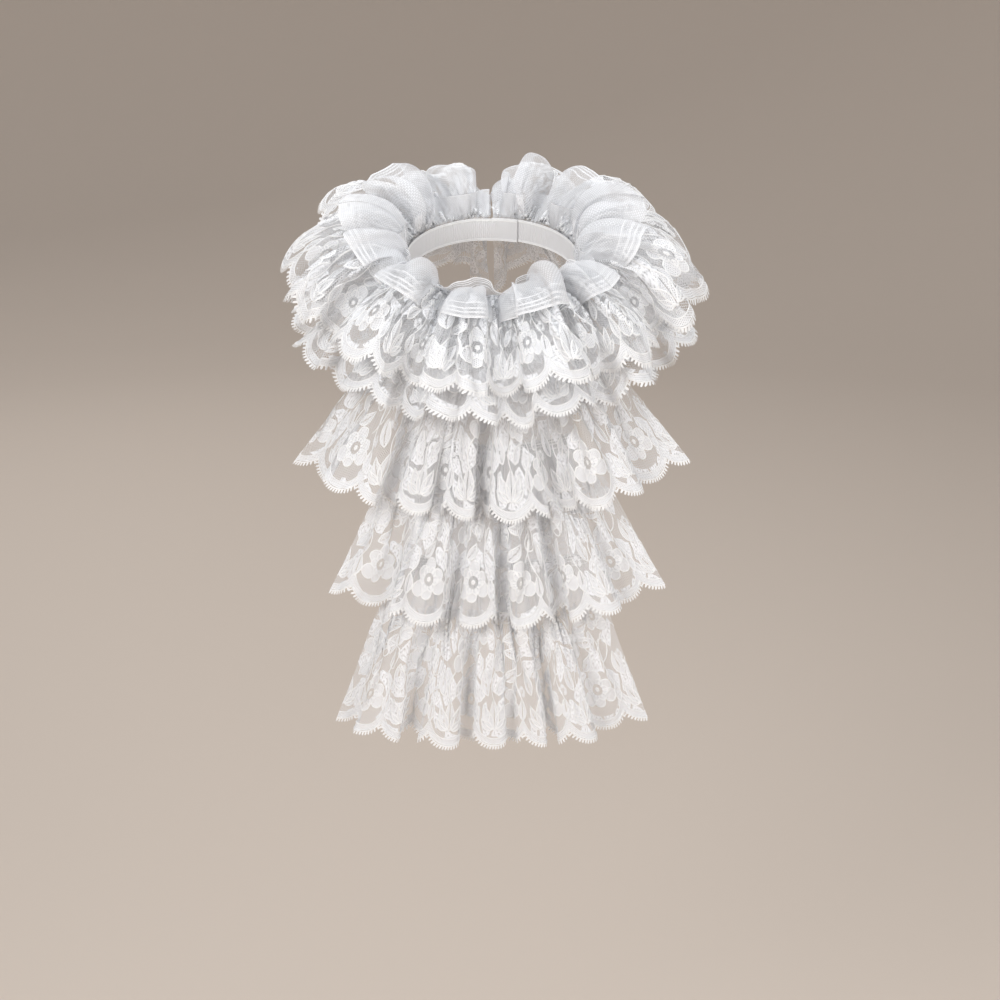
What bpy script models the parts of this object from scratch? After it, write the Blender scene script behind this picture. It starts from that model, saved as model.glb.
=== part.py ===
"""A lace jabot collar as it is worn: two gathered lace ruffles round an open neck, and three gathered lace
tiers that hang from a backing panel in front.

Units are metres. +Z is up, the wearer faces -Y and the wearer's left is +X. The origin is the middle of the
neckline. Each strip of lace is a flat grid that a function carries to its gathered place, and Solidify gives
it a wall.
"""

import functools
import math

import bmesh
import bpy
import numpy as np

# Cloth and seams
CLOTH = 0.001
SEAM_GAP = 0.0003
LAYER = CLOTH + SEAM_GAP
NORMAL_STEP = 0.001

# Neckline: an ellipse on the inner face of the neckband, leaning forward as the neck does
NECK_HALF_WIDTH = 0.066
NECK_HALF_DEPTH = 0.062
NECK_LEAN = math.radians(14)
SIDE = np.array([1.0, 0.0, 0.0])
FRONT = np.array([0.0, -math.cos(NECK_LEAN), -math.sin(NECK_LEAN)])
NECK_AXIS = np.array([0.0, -math.sin(NECK_LEAN), math.cos(NECK_LEAN)])

# Neckband: a ribbon whose hidden end laps under the other at the centre back
BAND_TOP = 0.006
BAND_BOTTOM = -0.014
BAND_LAP = 0.05
BAND_STEP = 0.04
BAND_SEGMENTS = 64

# Backing panel: its top follows the neckband, its foot carries the lowest tier
BACKING_REACH = math.radians(58)
BACKING_FOOT_HALF_WIDTH = 0.070
BACKING_FOOT = np.array([0.0, -0.084, -0.222])
BACKING_FOOT_BEND = 0.150
BACKING_COLUMNS = 20
BACKING_ROWS = 8

# Scalloped edge, shared by every strip
SCALLOP_PITCH = 0.040
SCALLOP_DEPTH = 0.011

# A fold's crest is broad and flat, and wider than its foot, so that it overhangs the valleys beside it
CREST_SPREAD = 0.11
FOLD_OVERHANG = 0.12
CREST_FLATNESS = 0.75
FULL_FOLD = 0.45
FOLD_GROWTH = 0.9
FOLD_SAMPLES = 48

# Collar ruffles, from the neckline outwards. Slopes are in degrees above the neckline's plane.
COLLAR_END_GAP = 0.0012
COLLAR_HEADING_ROWS = (-1.0, -0.7, -0.4)
COLLAR_FALL_ROWS = (0.0, 0.12, 0.34, 0.56, 0.78, 1.0)
COLLAR_COLUMNS_PER_SCALLOP = 4
COLLARS = {
    "collar_ruffle_lower": {
        "layer": 1,
        "seam_height": -0.006,
        "heading": 0.032,
        "heading_plain": 0.013,
        "heading_share": 0.34,
        "heading_standoff": 0.95,
        "heading_start": {"back": 86, "side": 86, "front": 86},
        "heading_end": {"back": 62, "side": 62, "front": 64},
        "fall": 0.100,
        "fall_start": {"back": -36, "side": -24, "front": -22},
        "fall_end": {"back": -70, "side": -52, "front": -44},
        "hem_radius": 0.138,
        "scallops": 39,
    },
    "collar_ruffle_upper": {
        "layer": 2,
        "seam_height": 0.003,
        "heading": 0.048,
        "heading_plain": 0.0,
        "heading_share": 0.62,
        "heading_standoff": 0.45,
        "heading_start": {"back": 72, "side": 76, "front": 64},
        "heading_end": {"back": -34, "side": -32, "front": -16},
        "fall": 0.095,
        "fall_start": {"back": 20, "side": 34, "front": 12},
        "fall_end": {"back": -42, "side": -78, "front": -54},
        "hem_radius": 0.148,
        "scallops": 44,
    },
}

# Folds of the collar ruffles, from the centre back past the wearer's left. width is a share of the hem's
# width, depth is how far the crest stands out of the valleys, in metres, and droop is how much steeper the
# ruffle falls there, in degrees.
COLLAR_FOLD_COLUMNS = ("width", "depth", "droop")
COLLAR_FOLDS = {
    "collar_ruffle_lower": (
        (0.080, 0.028, 0),
        (0.090, 0.030, 0),
        (0.075, 0.028, 4),
        (0.085, 0.032, -4),
        (0.070, 0.024, 0),
        (0.080, 0.022, -2),
        (0.095, 0.022, 0),
        (0.070, 0.022, -4),
        (0.085, 0.026, -4),
        (0.090, 0.034, 0),
        (0.080, 0.030, 6),
        (0.100, 0.028, 0),
    ),
    "collar_ruffle_upper": (
        (0.085, 0.028, 0),
        (0.075, 0.030, -8),
        (0.090, 0.036, 4),
        (0.080, 0.034, -4),
        (0.070, 0.028, 6),
        (0.090, 0.026, 0),
        (0.080, 0.024, 4),
        (0.090, 0.028, -3),
        (0.070, 0.028, -6),
        (0.090, 0.036, -2),
        (0.085, 0.034, -8),
        (0.095, 0.028, 0),
    ),
}

# Jabot tiers. seam is how far down the backing panel they are sewn, from 0 to 1. Leans are in degrees off
# plumb, fan is how far the strip's ends splay, and face_turn is how far they turn to the sides.
TIER_ROWS = (0.0, 0.1, 0.26, 0.44, 0.63, 0.82, 1.0)
TIER_COLUMNS_PER_SCALLOP = 4
TIERS = {
    "jabot_tier_1": {
        "seam": 0.045,
        "fall": 0.144,
        "lean_start": 22,
        "lean_end": 6,
        "fan": {"left": 36, "right": 36},
        "face_turn": 24,
        "hem_width": 0.296,
        "scallops": 15,
    },
    "jabot_tier_2": {
        "seam": 0.50,
        "fall": 0.140,
        "lean_start": 17,
        "lean_end": 5,
        "fan": {"left": 28, "right": 24},
        "face_turn": 18,
        "hem_width": 0.262,
        "scallops": 12,
    },
    "jabot_tier_3": {
        "seam": 0.97,
        "fall": 0.148,
        "lean_start": 10,
        "lean_end": 0,
        "fan": {"left": 20, "right": 20},
        "face_turn": 18,
        "hem_width": 0.244,
        "scallops": 12,
    },
}

# Folds of the tiers, from the wearer's left to the right. A fold with no depth is the strip's flat end.
TIER_FOLD_COLUMNS = ("width", "depth")
TIER_FOLDS = {
    "jabot_tier_1": (
        (0.110, 0.000),
        (0.240, 0.022),
        (0.180, 0.024),
        (0.095, 0.015),
        (0.110, 0.018),
        (0.185, 0.024),
        (0.080, 0.000),
    ),
    "jabot_tier_2": (
        (0.130, 0.000),
        (0.190, 0.023),
        (0.150, 0.020),
        (0.140, 0.018),
        (0.210, 0.023),
        (0.180, 0.000),
    ),
    "jabot_tier_3": (
        (0.160, 0.000),
        (0.160, 0.021),
        (0.120, 0.017),
        (0.140, 0.017),
        (0.170, 0.021),
        (0.210, 0.018),
        (0.040, 0.000),
    ),
}

# Finishes: base colour and roughness
LACE = ((0.94, 0.94, 0.95), 0.75)
RIBBON = ((0.93, 0.93, 0.94), 0.45)
NET = ((0.92, 0.92, 0.93), 0.85)


def layer_middle(layer):
    """How far the middle of a layer's cloth lies outside the neckband's inner face."""
    return layer * LAYER + CLOTH / 2


def neckline(turn, out, up):
    """A point beside the neckline. turn is 0 at the centre back, 0.25 at the left and 0.5 in front."""
    angle = 2 * np.pi * turn
    across = np.sin(angle) * (NECK_HALF_WIDTH + out)
    ahead = -np.cos(angle) * (NECK_HALF_DEPTH + out)
    return across[..., None] * SIDE + ahead[..., None] * FRONT + (up + 0 * turn)[..., None] * NECK_AXIS


def bent_run(distance, length, first, last):
    """How far cloth has run out and up when its slope turns evenly from first to last degrees."""
    turned = np.radians(last - first) * distance / length
    mean = np.radians(first) + turned / 2
    chord = distance * np.sinc(turned / 2 / np.pi)
    return chord * np.cos(mean), chord * np.sin(mean)


def round_the_neck(values, turn):
    """Blends back, side and front values smoothly round the neckline."""
    backness = np.cos(2 * np.pi * turn)
    tilt = (values["back"] - values["front"]) / 2
    bow = (values["back"] + values["front"]) / 2 - values["side"]
    return values["side"] + tilt * backness + bow * backness**2


def normals_of(form, across, down):
    """Unit normals of a form, on its outer side."""
    along = form(across + NORMAL_STEP, down) - form(across - NORMAL_STEP, down)
    fall = form(across, down + NORMAL_STEP) - form(across, down - NORMAL_STEP)
    normal = np.cross(along, fall)
    return normal / np.linalg.norm(normal, axis=-1, keepdims=True)


def fold_rows(columns, table):
    """A table's rows by their columns' names, with widths that add up to the whole hem."""
    rows = [dict(zip(columns, row)) for row in table]
    whole = sum(row["width"] for row in rows)
    return [{**row, "width": row["width"] / whole} for row in rows]


def fold_walk(folds, hem_width):
    """Flat shares along a hem and, at each, its place across and the folds' sideways shift and lift."""
    place, shift, lift = [], [], []
    start = 0.0
    phase = np.arange(FOLD_SAMPLES) / FOLD_SAMPLES
    for fold in folds:
        width, depth = fold["width"], fold["depth"]
        fullness = min(1.0, depth / (FULL_FOLD * width * hem_width)) * width
        swing = -CREST_SPREAD * np.sin(2 * np.pi * phase) + FOLD_OVERHANG * np.sin(4 * np.pi * phase)
        place.append(start + width * phase)
        shift.append(fullness * swing)
        lift.append(depth * ((1 - np.cos(2 * np.pi * phase)) / 2) ** CREST_FLATNESS)
        start += width
    place = np.append(np.concatenate(place), 1.0)
    shift = np.append(np.concatenate(shift), 0.0)
    lift = np.append(np.concatenate(lift), 0.0)
    steps = np.hypot(np.diff(place + shift) * hem_width, np.diff(lift))
    walked = np.concatenate([[0.0], np.cumsum(steps)])
    return walked / walked[-1], place, shift, lift


def gathered(form, folds, hem_width, flat, down, growth, base_lift):
    """Points of a gathered strip: its form, with folds that have grown to a share of their depth.

    A negative share turns them to the inner side, as above the seam of a strip that is bent double there, so
    that both halves wave together.
    """
    shares, place, shift, lift = fold_walk(folds, hem_width)
    across = np.interp(flat, shares, place) + np.abs(growth) * np.interp(flat, shares, shift)
    out = growth * (np.interp(flat, shares, lift) + base_lift)
    return form(across, down) + normals_of(form, across, down) * out[..., None]


def scallop(flat, count):
    """0 at the notches and 1 at the tips of a row of arcs. The strip's ends are tips."""
    half_pitch = SCALLOP_PITCH / 2
    radius = (half_pitch**2 + SCALLOP_DEPTH**2) / (2 * SCALLOP_DEPTH)
    beside = half_pitch * (2 * np.mod(flat * count + 0.5, 1.0) - 1)
    return (np.sqrt(radius**2 - beside**2) - (radius - SCALLOP_DEPTH)) / SCALLOP_DEPTH


def droop_at(folds, across):
    """How much steeper a ruffle falls at a share round the neck, read between its folds' middles."""
    widths = np.array([fold["width"] for fold in folds])
    middles = np.cumsum(widths) - widths / 2
    return np.interp(across, middles, [fold["droop"] for fold in folds], period=1)


def collar_form(spec, folds):
    """A collar ruffle without its folds, from the share round the neck and the distance from its seam."""
    end = COLLAR_END_GAP / (2 * np.pi * NECK_HALF_WIDTH)
    middle = layer_middle(spec["layer"])

    def form(across, down):
        turn = end + (1 - 2 * end) * across
        droop = droop_at(folds, across)
        plain = np.clip(-down, 0, spec["heading_plain"])
        out, up = middle, spec["seam_height"] + plain
        for part, distance in (("fall", np.maximum(down, 0)), ("heading", np.maximum(-down, 0) - plain)):
            first = round_the_neck(spec[part + "_start"], turn) - droop
            last = round_the_neck(spec[part + "_end"], turn) - droop
            bend_out, bend_up = bent_run(distance, spec[part], first, last)
            out, up = out + bend_out, up + bend_up
        return neckline(turn, out, up)

    return form


def collar_points(name, flat, row):
    """Points of a collar ruffle. row is -1 at the heading's edge, 0 at the seam and 1 at the scallops."""
    spec = COLLARS[name]
    folds = fold_rows(COLLAR_FOLD_COLUMNS, COLLAR_FOLDS[name])
    hem = spec["fall"] - SCALLOP_DEPTH * (1 - scallop(flat, spec["scallops"]))
    down = np.where(row < 0, row * spec["heading"], row * hem)
    plain = spec["heading_plain"] / spec["heading"]
    loose = np.clip((-row - plain) / (1 - plain), 0, 1)
    heading_growth = -((spec["heading_share"] * loose) ** FOLD_GROWTH)
    growth = np.where(row < 0, heading_growth, np.maximum(row, 0) ** FOLD_GROWTH)
    hem_width = 2 * np.pi * spec["hem_radius"]
    mean_depth = np.mean([fold["depth"] for fold in folds])
    base_lift = -mean_depth * np.where(row < 0, spec["heading_standoff"], 0.5)
    return gathered(collar_form(spec, folds), folds, hem_width, flat, down, growth, base_lift)


def backing_points(across, down):
    """The backing panel: straight rulings from an arc under the neckband to a shallow arc at its foot."""
    side = 1 - 2 * across
    turn = 0.5 - side * BACKING_REACH / (2 * np.pi)
    top = neckline(turn, layer_middle(0), BAND_BOTTOM - SEAM_GAP)
    beside = side * BACKING_FOOT_HALF_WIDTH
    foot = BACKING_FOOT + beside[..., None] * SIDE
    foot[..., 1] += beside**2 / (2 * BACKING_FOOT_BEND)
    return top + (foot - top) * down[..., None]


def tier_form(spec):
    """A tier without its folds: it leans out from its seam, then hangs, and fans out to both sides."""

    def form(across, down):
        side = 1 - 2 * across
        seam_row = spec["seam"] + 0 * across
        seam = backing_points(across, seam_row) + LAYER * normals_of(backing_points, across, seam_row)
        plumb, out = bent_run(down, spec["fall"], spec["lean_start"], spec["lean_end"])
        fan = np.radians(np.where(side > 0, spec["fan"]["left"], spec["fan"]["right"])) * side
        face = np.radians(spec["face_turn"]) * side
        move_x = plumb * np.sin(fan) + out * np.sin(face)
        return seam + np.stack([move_x, -out * np.cos(face), -plumb * np.cos(fan)], axis=-1)

    return form


def tier_points(name, flat, row):
    """Points of a tier. row is 0 at its seam and 1 at its scallops."""
    spec = TIERS[name]
    folds = fold_rows(TIER_FOLD_COLUMNS, TIER_FOLDS[name])
    hem = spec["fall"] - SCALLOP_DEPTH * (1 - scallop(flat, spec["scallops"]))
    return gathered(tier_form(spec), folds, spec["hem_width"], flat, row * hem, row**FOLD_GROWTH, 0.0)


def band_points(along, height):
    """The neckband: once round the neck, with its last stretch stepped in under its first."""
    turn = along * (1 + BAND_LAP)
    step = np.clip((turn - (1 - BAND_STEP)) / BAND_STEP, 0, 1)
    out = layer_middle(0) - LAYER * step * step * (3 - 2 * step)
    return neckline(turn, out, BAND_BOTTOM + (BAND_TOP - BAND_BOTTOM) * height)


def material(name, finish):
    """A plain Principled finish."""
    colour, roughness = finish
    made = bpy.data.materials.new(name)
    made.use_nodes = True
    shader = made.node_tree.nodes["Principled BSDF"]
    shader.inputs["Base Color"].default_value = (*colour, 1.0)
    shader.inputs["Roughness"].default_value = roughness
    shader.inputs["Metallic"].default_value = 0.0
    return made


def cloth_piece(name, columns, rows, place, finish, collection):
    """A flat grid of cloth, carried to its place by place(share along, row) and given its wall."""
    mesh = bpy.data.meshes.new(name)
    grid = bmesh.new()
    bmesh.ops.create_grid(grid, x_segments=columns, y_segments=len(rows) - 1, size=0.5)
    flat = np.array([vertex.co.x + 0.5 for vertex in grid.verts])
    steps = np.array([round((vertex.co.y + 0.5) * (len(rows) - 1)) for vertex in grid.verts])
    points = place(flat, np.array(rows, dtype=float)[steps])
    for vertex, point in zip(grid.verts, points):
        vertex.co = point
    grid.to_mesh(mesh)
    grid.free()
    mesh.shade_smooth()
    mesh.materials.append(finish)
    piece = bpy.data.objects.new(name, mesh)
    collection.objects.link(piece)
    wall = piece.modifiers.new("cloth wall", "SOLIDIFY")
    wall.thickness = CLOTH
    wall.offset = 0.0
    return piece


def clear_scene():
    for leftover in list(bpy.data.objects):
        bpy.data.objects.remove(leftover)


def build():
    clear_scene()
    collection = bpy.data.collections.new("jabot collar")
    bpy.context.scene.collection.children.link(collection)
    lace = material("lace", LACE)
    ribbon = material("ribbon", RIBBON)
    net = material("net", NET)

    cloth_piece("neck_band", BAND_SEGMENTS, (0.0, 1.0), band_points, ribbon, collection)
    backing_rows = np.linspace(0, 1, BACKING_ROWS + 1)
    cloth_piece("backing_panel", BACKING_COLUMNS, backing_rows, backing_points, net, collection)

    collar_rows = COLLAR_HEADING_ROWS + COLLAR_FALL_ROWS
    for name, spec in COLLARS.items():
        columns = spec["scallops"] * COLLAR_COLUMNS_PER_SCALLOP
        place = functools.partial(collar_points, name)
        cloth_piece(name, columns, collar_rows, place, lace, collection)
    for name, spec in TIERS.items():
        columns = spec["scallops"] * TIER_COLUMNS_PER_SCALLOP
        place = functools.partial(tier_points, name)
        cloth_piece(name, columns, TIER_ROWS, place, lace, collection)


build()
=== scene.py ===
# %% [markdown]
# # A lace jabot collar, worn
#
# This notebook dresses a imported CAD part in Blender. The part is a costume piece of white flower lace: two
# gathered ruffles round an open neck, and three gathered tiers that hang down the front.
#
# Real lace like this is one long strip, cut in five lengths. So we do what the maker did. We draw one
# repeat of the lace flat, run it on to the length of each strip, and then gather that flat strip onto its
# place.

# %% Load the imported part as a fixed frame
import math

import bpy
import numpy as np
from mathutils import Matrix, Vector


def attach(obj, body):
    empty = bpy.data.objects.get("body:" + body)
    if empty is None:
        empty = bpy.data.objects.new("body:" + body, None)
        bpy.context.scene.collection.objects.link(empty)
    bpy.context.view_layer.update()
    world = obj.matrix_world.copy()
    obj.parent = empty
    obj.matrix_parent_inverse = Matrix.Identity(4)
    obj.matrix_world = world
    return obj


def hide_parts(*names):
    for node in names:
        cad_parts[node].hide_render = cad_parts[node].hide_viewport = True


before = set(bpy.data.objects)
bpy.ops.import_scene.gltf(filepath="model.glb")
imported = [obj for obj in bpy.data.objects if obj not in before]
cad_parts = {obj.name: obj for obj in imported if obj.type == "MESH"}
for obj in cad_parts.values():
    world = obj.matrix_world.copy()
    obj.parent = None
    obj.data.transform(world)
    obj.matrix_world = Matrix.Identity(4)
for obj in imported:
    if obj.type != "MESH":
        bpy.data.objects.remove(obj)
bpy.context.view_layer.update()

MM = 0.001


# %% [markdown]
# ## Camera, floor and light
#
# The collar is looked at from straight ahead and a little above. A long lens from two metres away keeps the
# ruffles near the camera from looking too large. We aim the lens so that the middle of the neckline falls
# where it does in the picture that we follow.

# %% Camera
CAMERA_DISTANCE = 2.0
CAMERA_ELEVATION = math.radians(14.5)
PICTURE_SIDE_PX = 1000
METRES_PER_PX = 0.78 * MM
NECK_PX = (492, 262)
SENSOR_WIDTH = 36.0


def add_camera():
    """A camera two metres from the neckline, aimed so that the neckline lands on NECK_PX."""
    back = Vector((0, -math.cos(CAMERA_ELEVATION), math.sin(CAMERA_ELEVATION)))
    up = Vector((0, math.sin(CAMERA_ELEVATION), math.cos(CAMERA_ELEVATION)))
    right = Vector((1, 0, 0))
    centre_px = PICTURE_SIDE_PX / 2
    aim = right * (centre_px - NECK_PX[0]) * METRES_PER_PX
    aim -= up * (centre_px - NECK_PX[1]) * METRES_PER_PX
    eye = back * CAMERA_DISTANCE
    bpy.ops.object.camera_add(location=eye)
    camera = bpy.context.object
    camera.rotation_euler = (aim - eye).to_track_quat("-Z", "Y").to_euler()
    camera.data.sensor_width = SENSOR_WIDTH
    camera.data.lens = SENSOR_WIDTH * CAMERA_DISTANCE / (PICTURE_SIDE_PX * METRES_PER_PX)
    bpy.context.scene.camera = camera
    return camera


camera = add_camera()
print(f"camera lens {camera.data.lens:.0f} mm")

# %% [markdown]
# The room is one pale surface: a round floor that curves up into a wall, so that no edge shows behind the
# lace. It starts as a filled circle. Its rim is then drawn out and up in steps of a quarter circle, as by
# hand with Extrude and Scale. It is warm and a step darker than the lace, so that the holes of the net read
# as holes.

# %% Floor and wall
FLOOR_HEIGHT = -0.80
FLOOR_RADIUS = 2.4
FLOOR_SIDES = 96
CURVE_RADIUS = 1.2
CURVE_STEPS = 12
WALL_HEIGHT = 2.5
STUDIO_COLOUR = (0.590, 0.515, 0.450)
PAPER_ROUGHNESS = 0.9
PAPER_GLOSS = 0.1


def select_only(*pieces):
    """Selects these pieces and no other, and makes the first of them active."""
    for chosen in list(bpy.context.selected_objects):
        chosen.select_set(False)
    for piece in pieces:
        piece.select_set(True)
    if pieces:
        bpy.context.view_layer.objects.active = pieces[0]


def add_room():
    """A round floor whose rim curves up into a wall."""
    select_only()
    bpy.ops.mesh.primitive_circle_add(
        vertices=FLOOR_SIDES, radius=FLOOR_RADIUS, fill_type="NGON", location=(0, 0, FLOOR_HEIGHT)
    )
    room = bpy.context.object
    room.name = "studio_floor"
    bpy.ops.object.mode_set(mode="EDIT")
    bpy.ops.mesh.select_all(action="SELECT")
    radius, height = FLOOR_RADIUS, 0.0
    for step in range(1, CURVE_STEPS + 1):
        angle = step / CURVE_STEPS * math.pi / 2
        wider = FLOOR_RADIUS + CURVE_RADIUS * math.sin(angle)
        higher = CURVE_RADIUS * (1 - math.cos(angle))
        bpy.ops.mesh.extrude_edges_move(TRANSFORM_OT_translate={"value": (0, 0, higher - height)})
        bpy.ops.transform.resize(value=(wider / radius, wider / radius, 1))
        radius, height = wider, higher
        if step == 1:
            bpy.ops.mesh.select_mode(type="EDGE")
    bpy.ops.mesh.extrude_edges_move(TRANSFORM_OT_translate={"value": (0, 0, WALL_HEIGHT - height)})
    bpy.ops.object.mode_set(mode="OBJECT")
    bpy.ops.object.transform_apply(location=True, rotation=True, scale=True)
    room.data.shade_smooth()
    return room


def room_material():
    """Matt paper, a warm grey."""
    made = bpy.data.materials.new("studio_paper")
    made.use_nodes = True
    paper = made.node_tree.nodes["Principled BSDF"]
    paper.inputs["Base Color"].default_value = (*STUDIO_COLOUR, 1)
    paper.inputs["Roughness"].default_value = PAPER_ROUGHNESS
    paper.inputs["Specular IOR Level"].default_value = PAPER_GLOSS
    return made


room = add_room()
room.data.materials.append(room_material())
print("room:", len(room.data.polygons), "faces")

# %% [markdown]
# White lace needs light that is soft but not flat. Two large softboxes stand left and right of the camera,
# and a third hangs above and behind, so that light also comes through the cloth towards us. A fourth, far
# behind, keeps the back from lying in shade. The world adds a little fill. The lace lets light through
# again and again, so the render is allowed many transparent steps.

# %% Softboxes, world and colour
SOFTBOXES = {
    "left_softbox": {"place": (-1.15, -1.45, 0.75), "side": 0.95, "watts": 21.5},
    "right_softbox": {"place": (1.25, -1.35, 0.45), "side": 0.95, "watts": 14.5},
    "top_softbox": {"place": (0.10, 0.55, 1.50), "side": 1.10, "watts": 13.0},
    "back_softbox": {"place": (-0.90, 2.20, 0.80), "side": 1.10, "watts": 12.0},
}
LIT_POINT = (0.0, -0.05, -0.12)
WORLD_COLOUR = (0.93, 0.96, 1.0)
WORLD_STRENGTH = 0.52
TRANSPARENT_STEPS = 28


def add_softbox(name, place, side, watts):
    """A square area light that faces the collar, and that the camera can't see."""
    select_only()
    bpy.ops.object.light_add(type="AREA", location=place)
    light = bpy.context.object
    light.name = name
    light.data.shape = "SQUARE"
    light.data.size = side
    light.data.energy = watts
    light.visible_camera = False
    towards = Vector(LIT_POINT) - Vector(place)
    light.rotation_euler = towards.to_track_quat("-Z", "Y").to_euler()
    return light


def light_world():
    """An even, slightly blue light from all round."""
    world = bpy.data.worlds.new("studio_air")
    world.use_nodes = True
    air = world.node_tree.nodes["Background"]
    air.inputs["Color"].default_value = (*WORLD_COLOUR, 1)
    air.inputs["Strength"].default_value = WORLD_STRENGTH
    bpy.context.scene.world = world


for name, box in SOFTBOXES.items():
    add_softbox(name, **box)
light_world()
scene = bpy.context.scene
scene.view_settings.view_transform = "Standard"
scene.cycles.transparent_max_bounces = TRANSPARENT_STEPS
print("lights:", ", ".join(SOFTBOXES))

# %% [markdown]
# ## The forms that the cloth hangs on
#
# A gathered strip has two shapes in one: the slow shape that it hangs in, and the folds in it. We write the
# slow shape first. The neckline is an ellipse that leans forward. A ruffle leaves it at one slope and bends
# evenly to another, and a tier hangs from a net panel in front. The CAD part is built on the same lines, so
# the fine cloth falls where its solids are. A cloth simulation could drape the lace instead, but it would
# not put each fold where we want it, and a formula gives the same cloth every time.
#
# The upper ruffle's heading is the one place that differs: in front it is pressed lower than its solid.

# %% The neckline
CLOTH = 1.0 * MM
SEAM_GAP = 0.3 * MM
LAYER = CLOTH + SEAM_GAP
NECK_HALF_WIDTH = 0.066
NECK_HALF_DEPTH = 0.062
NECK_LEAN = math.radians(14)
SIDE = np.array([1.0, 0.0, 0.0])
FRONT = np.array([0.0, -math.cos(NECK_LEAN), -math.sin(NECK_LEAN)])
NECK_AXIS = np.array([0.0, -math.sin(NECK_LEAN), math.cos(NECK_LEAN)])


def layer_middle(layer):
    """How far the middle of a layer of cloth lies outside the neckband's inner face."""
    return layer * LAYER + CLOTH / 2


def neckline(turn, out, up):
    """A point beside the neckline. turn is 0 at the centre back, 0.25 at the left and 0.5 in front."""
    angle = 2 * np.pi * turn
    across = np.sin(angle) * (NECK_HALF_WIDTH + out)
    ahead = -np.cos(angle) * (NECK_HALF_DEPTH + out)
    return across[..., None] * SIDE + ahead[..., None] * FRONT + (up + 0 * turn)[..., None] * NECK_AXIS


def bent_run(distance, length, first, last):
    """How far cloth has run out and up when its slope turns evenly from first to last degrees."""
    turned = np.radians(last - first) * distance / length
    mean = np.radians(first) + turned / 2
    chord = distance * np.sinc(turned / 2 / np.pi)
    return chord * np.cos(mean), chord * np.sin(mean)


# The ellipse is nearly round, so this is close to its real length.
neck_round = 2 * math.pi * math.hypot(NECK_HALF_WIDTH, NECK_HALF_DEPTH) / math.sqrt(2)
print(f"neckline: {neck_round / MM:.0f} mm round")

# %% The two collar ruffles, from the neckline outwards
COLLAR_END_GAP = 0.0012
COLLARS = {
    "collar_ruffle_lower": {
        "layer": 1,
        "seam_height": -0.006,
        "heading": 0.032,
        "heading_plain": 0.013,
        "heading_share": 0.34,
        "heading_standoff": 0.95,
        "heading_start": {"back": 86, "side": 86, "front": 86},
        "heading_end": {"back": 62, "side": 62, "front": 64},
        "fall": 0.100,
        "fall_start": {"back": -36, "side": -24, "front": -22},
        "fall_end": {"back": -70, "side": -52, "front": -44},
        "hem_radius": 0.138,
        "scallops": 39,
    },
    "collar_ruffle_upper": {
        "layer": 2,
        "seam_height": 0.003,
        "heading": 0.048,
        "heading_plain": 0.0,
        "heading_share": 0.62,
        "heading_standoff": 0.45,
        "heading_start": {"back": 72, "side": 76, "front": 68},
        "heading_end": {"back": -34, "side": -32, "front": -48},
        "fall": 0.095,
        "fall_start": {"back": 20, "side": 34, "front": 12},
        "fall_end": {"back": -42, "side": -78, "front": -54},
        "hem_radius": 0.148,
        "scallops": 44,
    },
}


def round_the_neck(values, turn):
    """Blends back, side and front values smoothly round the neckline."""
    backness = np.cos(2 * np.pi * turn)
    tilt = (values["back"] - values["front"]) / 2
    bow = (values["back"] + values["front"]) / 2 - values["side"]
    return values["side"] + tilt * backness + bow * backness**2


def droop_at(folds, across):
    """How much steeper a ruffle falls at a share round the neck, read between its folds' middles."""
    widths = np.array([fold["width"] for fold in folds])
    middles = np.cumsum(widths) - widths / 2
    return np.interp(across, middles, [fold["droop"] for fold in folds], period=1)


def collar_form(spec, folds):
    """A collar ruffle without its folds, from the share round the neck and the distance from its seam."""
    end = COLLAR_END_GAP / (2 * np.pi * NECK_HALF_WIDTH)

    def form(across, down):
        turn = end + (1 - 2 * end) * across
        droop = droop_at(folds, across)
        plain = np.clip(-down, 0, spec["heading_plain"])
        out, up = layer_middle(spec["layer"]), spec["seam_height"] + plain
        for part, distance in (("fall", np.maximum(down, 0)), ("heading", np.maximum(-down, 0) - plain)):
            first = round_the_neck(spec[part + "_start"], turn) - droop
            last = round_the_neck(spec[part + "_end"], turn) - droop
            bend_out, bend_up = bent_run(distance, spec[part], first, last)
            out, up = out + bend_out, up + bend_up
        return neckline(turn, out, up)

    return form


print("collar ruffles:", ", ".join(COLLARS))

# %% The net panel in front, and the three tiers that hang from it
BAND_TOP = 0.006
BAND_BOTTOM = -0.014
BACKING_REACH = math.radians(58)
BACKING_FOOT_HALF_WIDTH = 0.070
BACKING_FOOT = np.array([0.0, -0.084, -0.222])
BACKING_FOOT_BEND = 0.150
TIERS = {
    "jabot_tier_1": {
        "seam": 0.045,
        "fall": 0.144,
        "lean_start": 22,
        "lean_end": 6,
        "fan": {"left": 36, "right": 36},
        "face_turn": 24,
        "hem_width": 0.296,
        "scallops": 15,
    },
    "jabot_tier_2": {
        "seam": 0.50,
        "fall": 0.140,
        "lean_start": 17,
        "lean_end": 5,
        "fan": {"left": 28, "right": 24},
        "face_turn": 18,
        "hem_width": 0.262,
        "scallops": 12,
    },
    "jabot_tier_3": {
        "seam": 0.97,
        "fall": 0.148,
        "lean_start": 10,
        "lean_end": 0,
        "fan": {"left": 20, "right": 20},
        "face_turn": 18,
        "hem_width": 0.244,
        "scallops": 12,
    },
}
NORMAL_STEP = 1.0 * MM


def unit(vectors):
    """Vectors in the same directions, with a length of one."""
    return vectors / np.linalg.norm(vectors, axis=-1, keepdims=True)


def normals_of(form, across, down):
    """Unit normals of a form, on its outer side."""
    along = form(across + NORMAL_STEP, down) - form(across - NORMAL_STEP, down)
    fall = form(across, down + NORMAL_STEP) - form(across, down - NORMAL_STEP)
    return unit(np.cross(along, fall))


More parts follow.
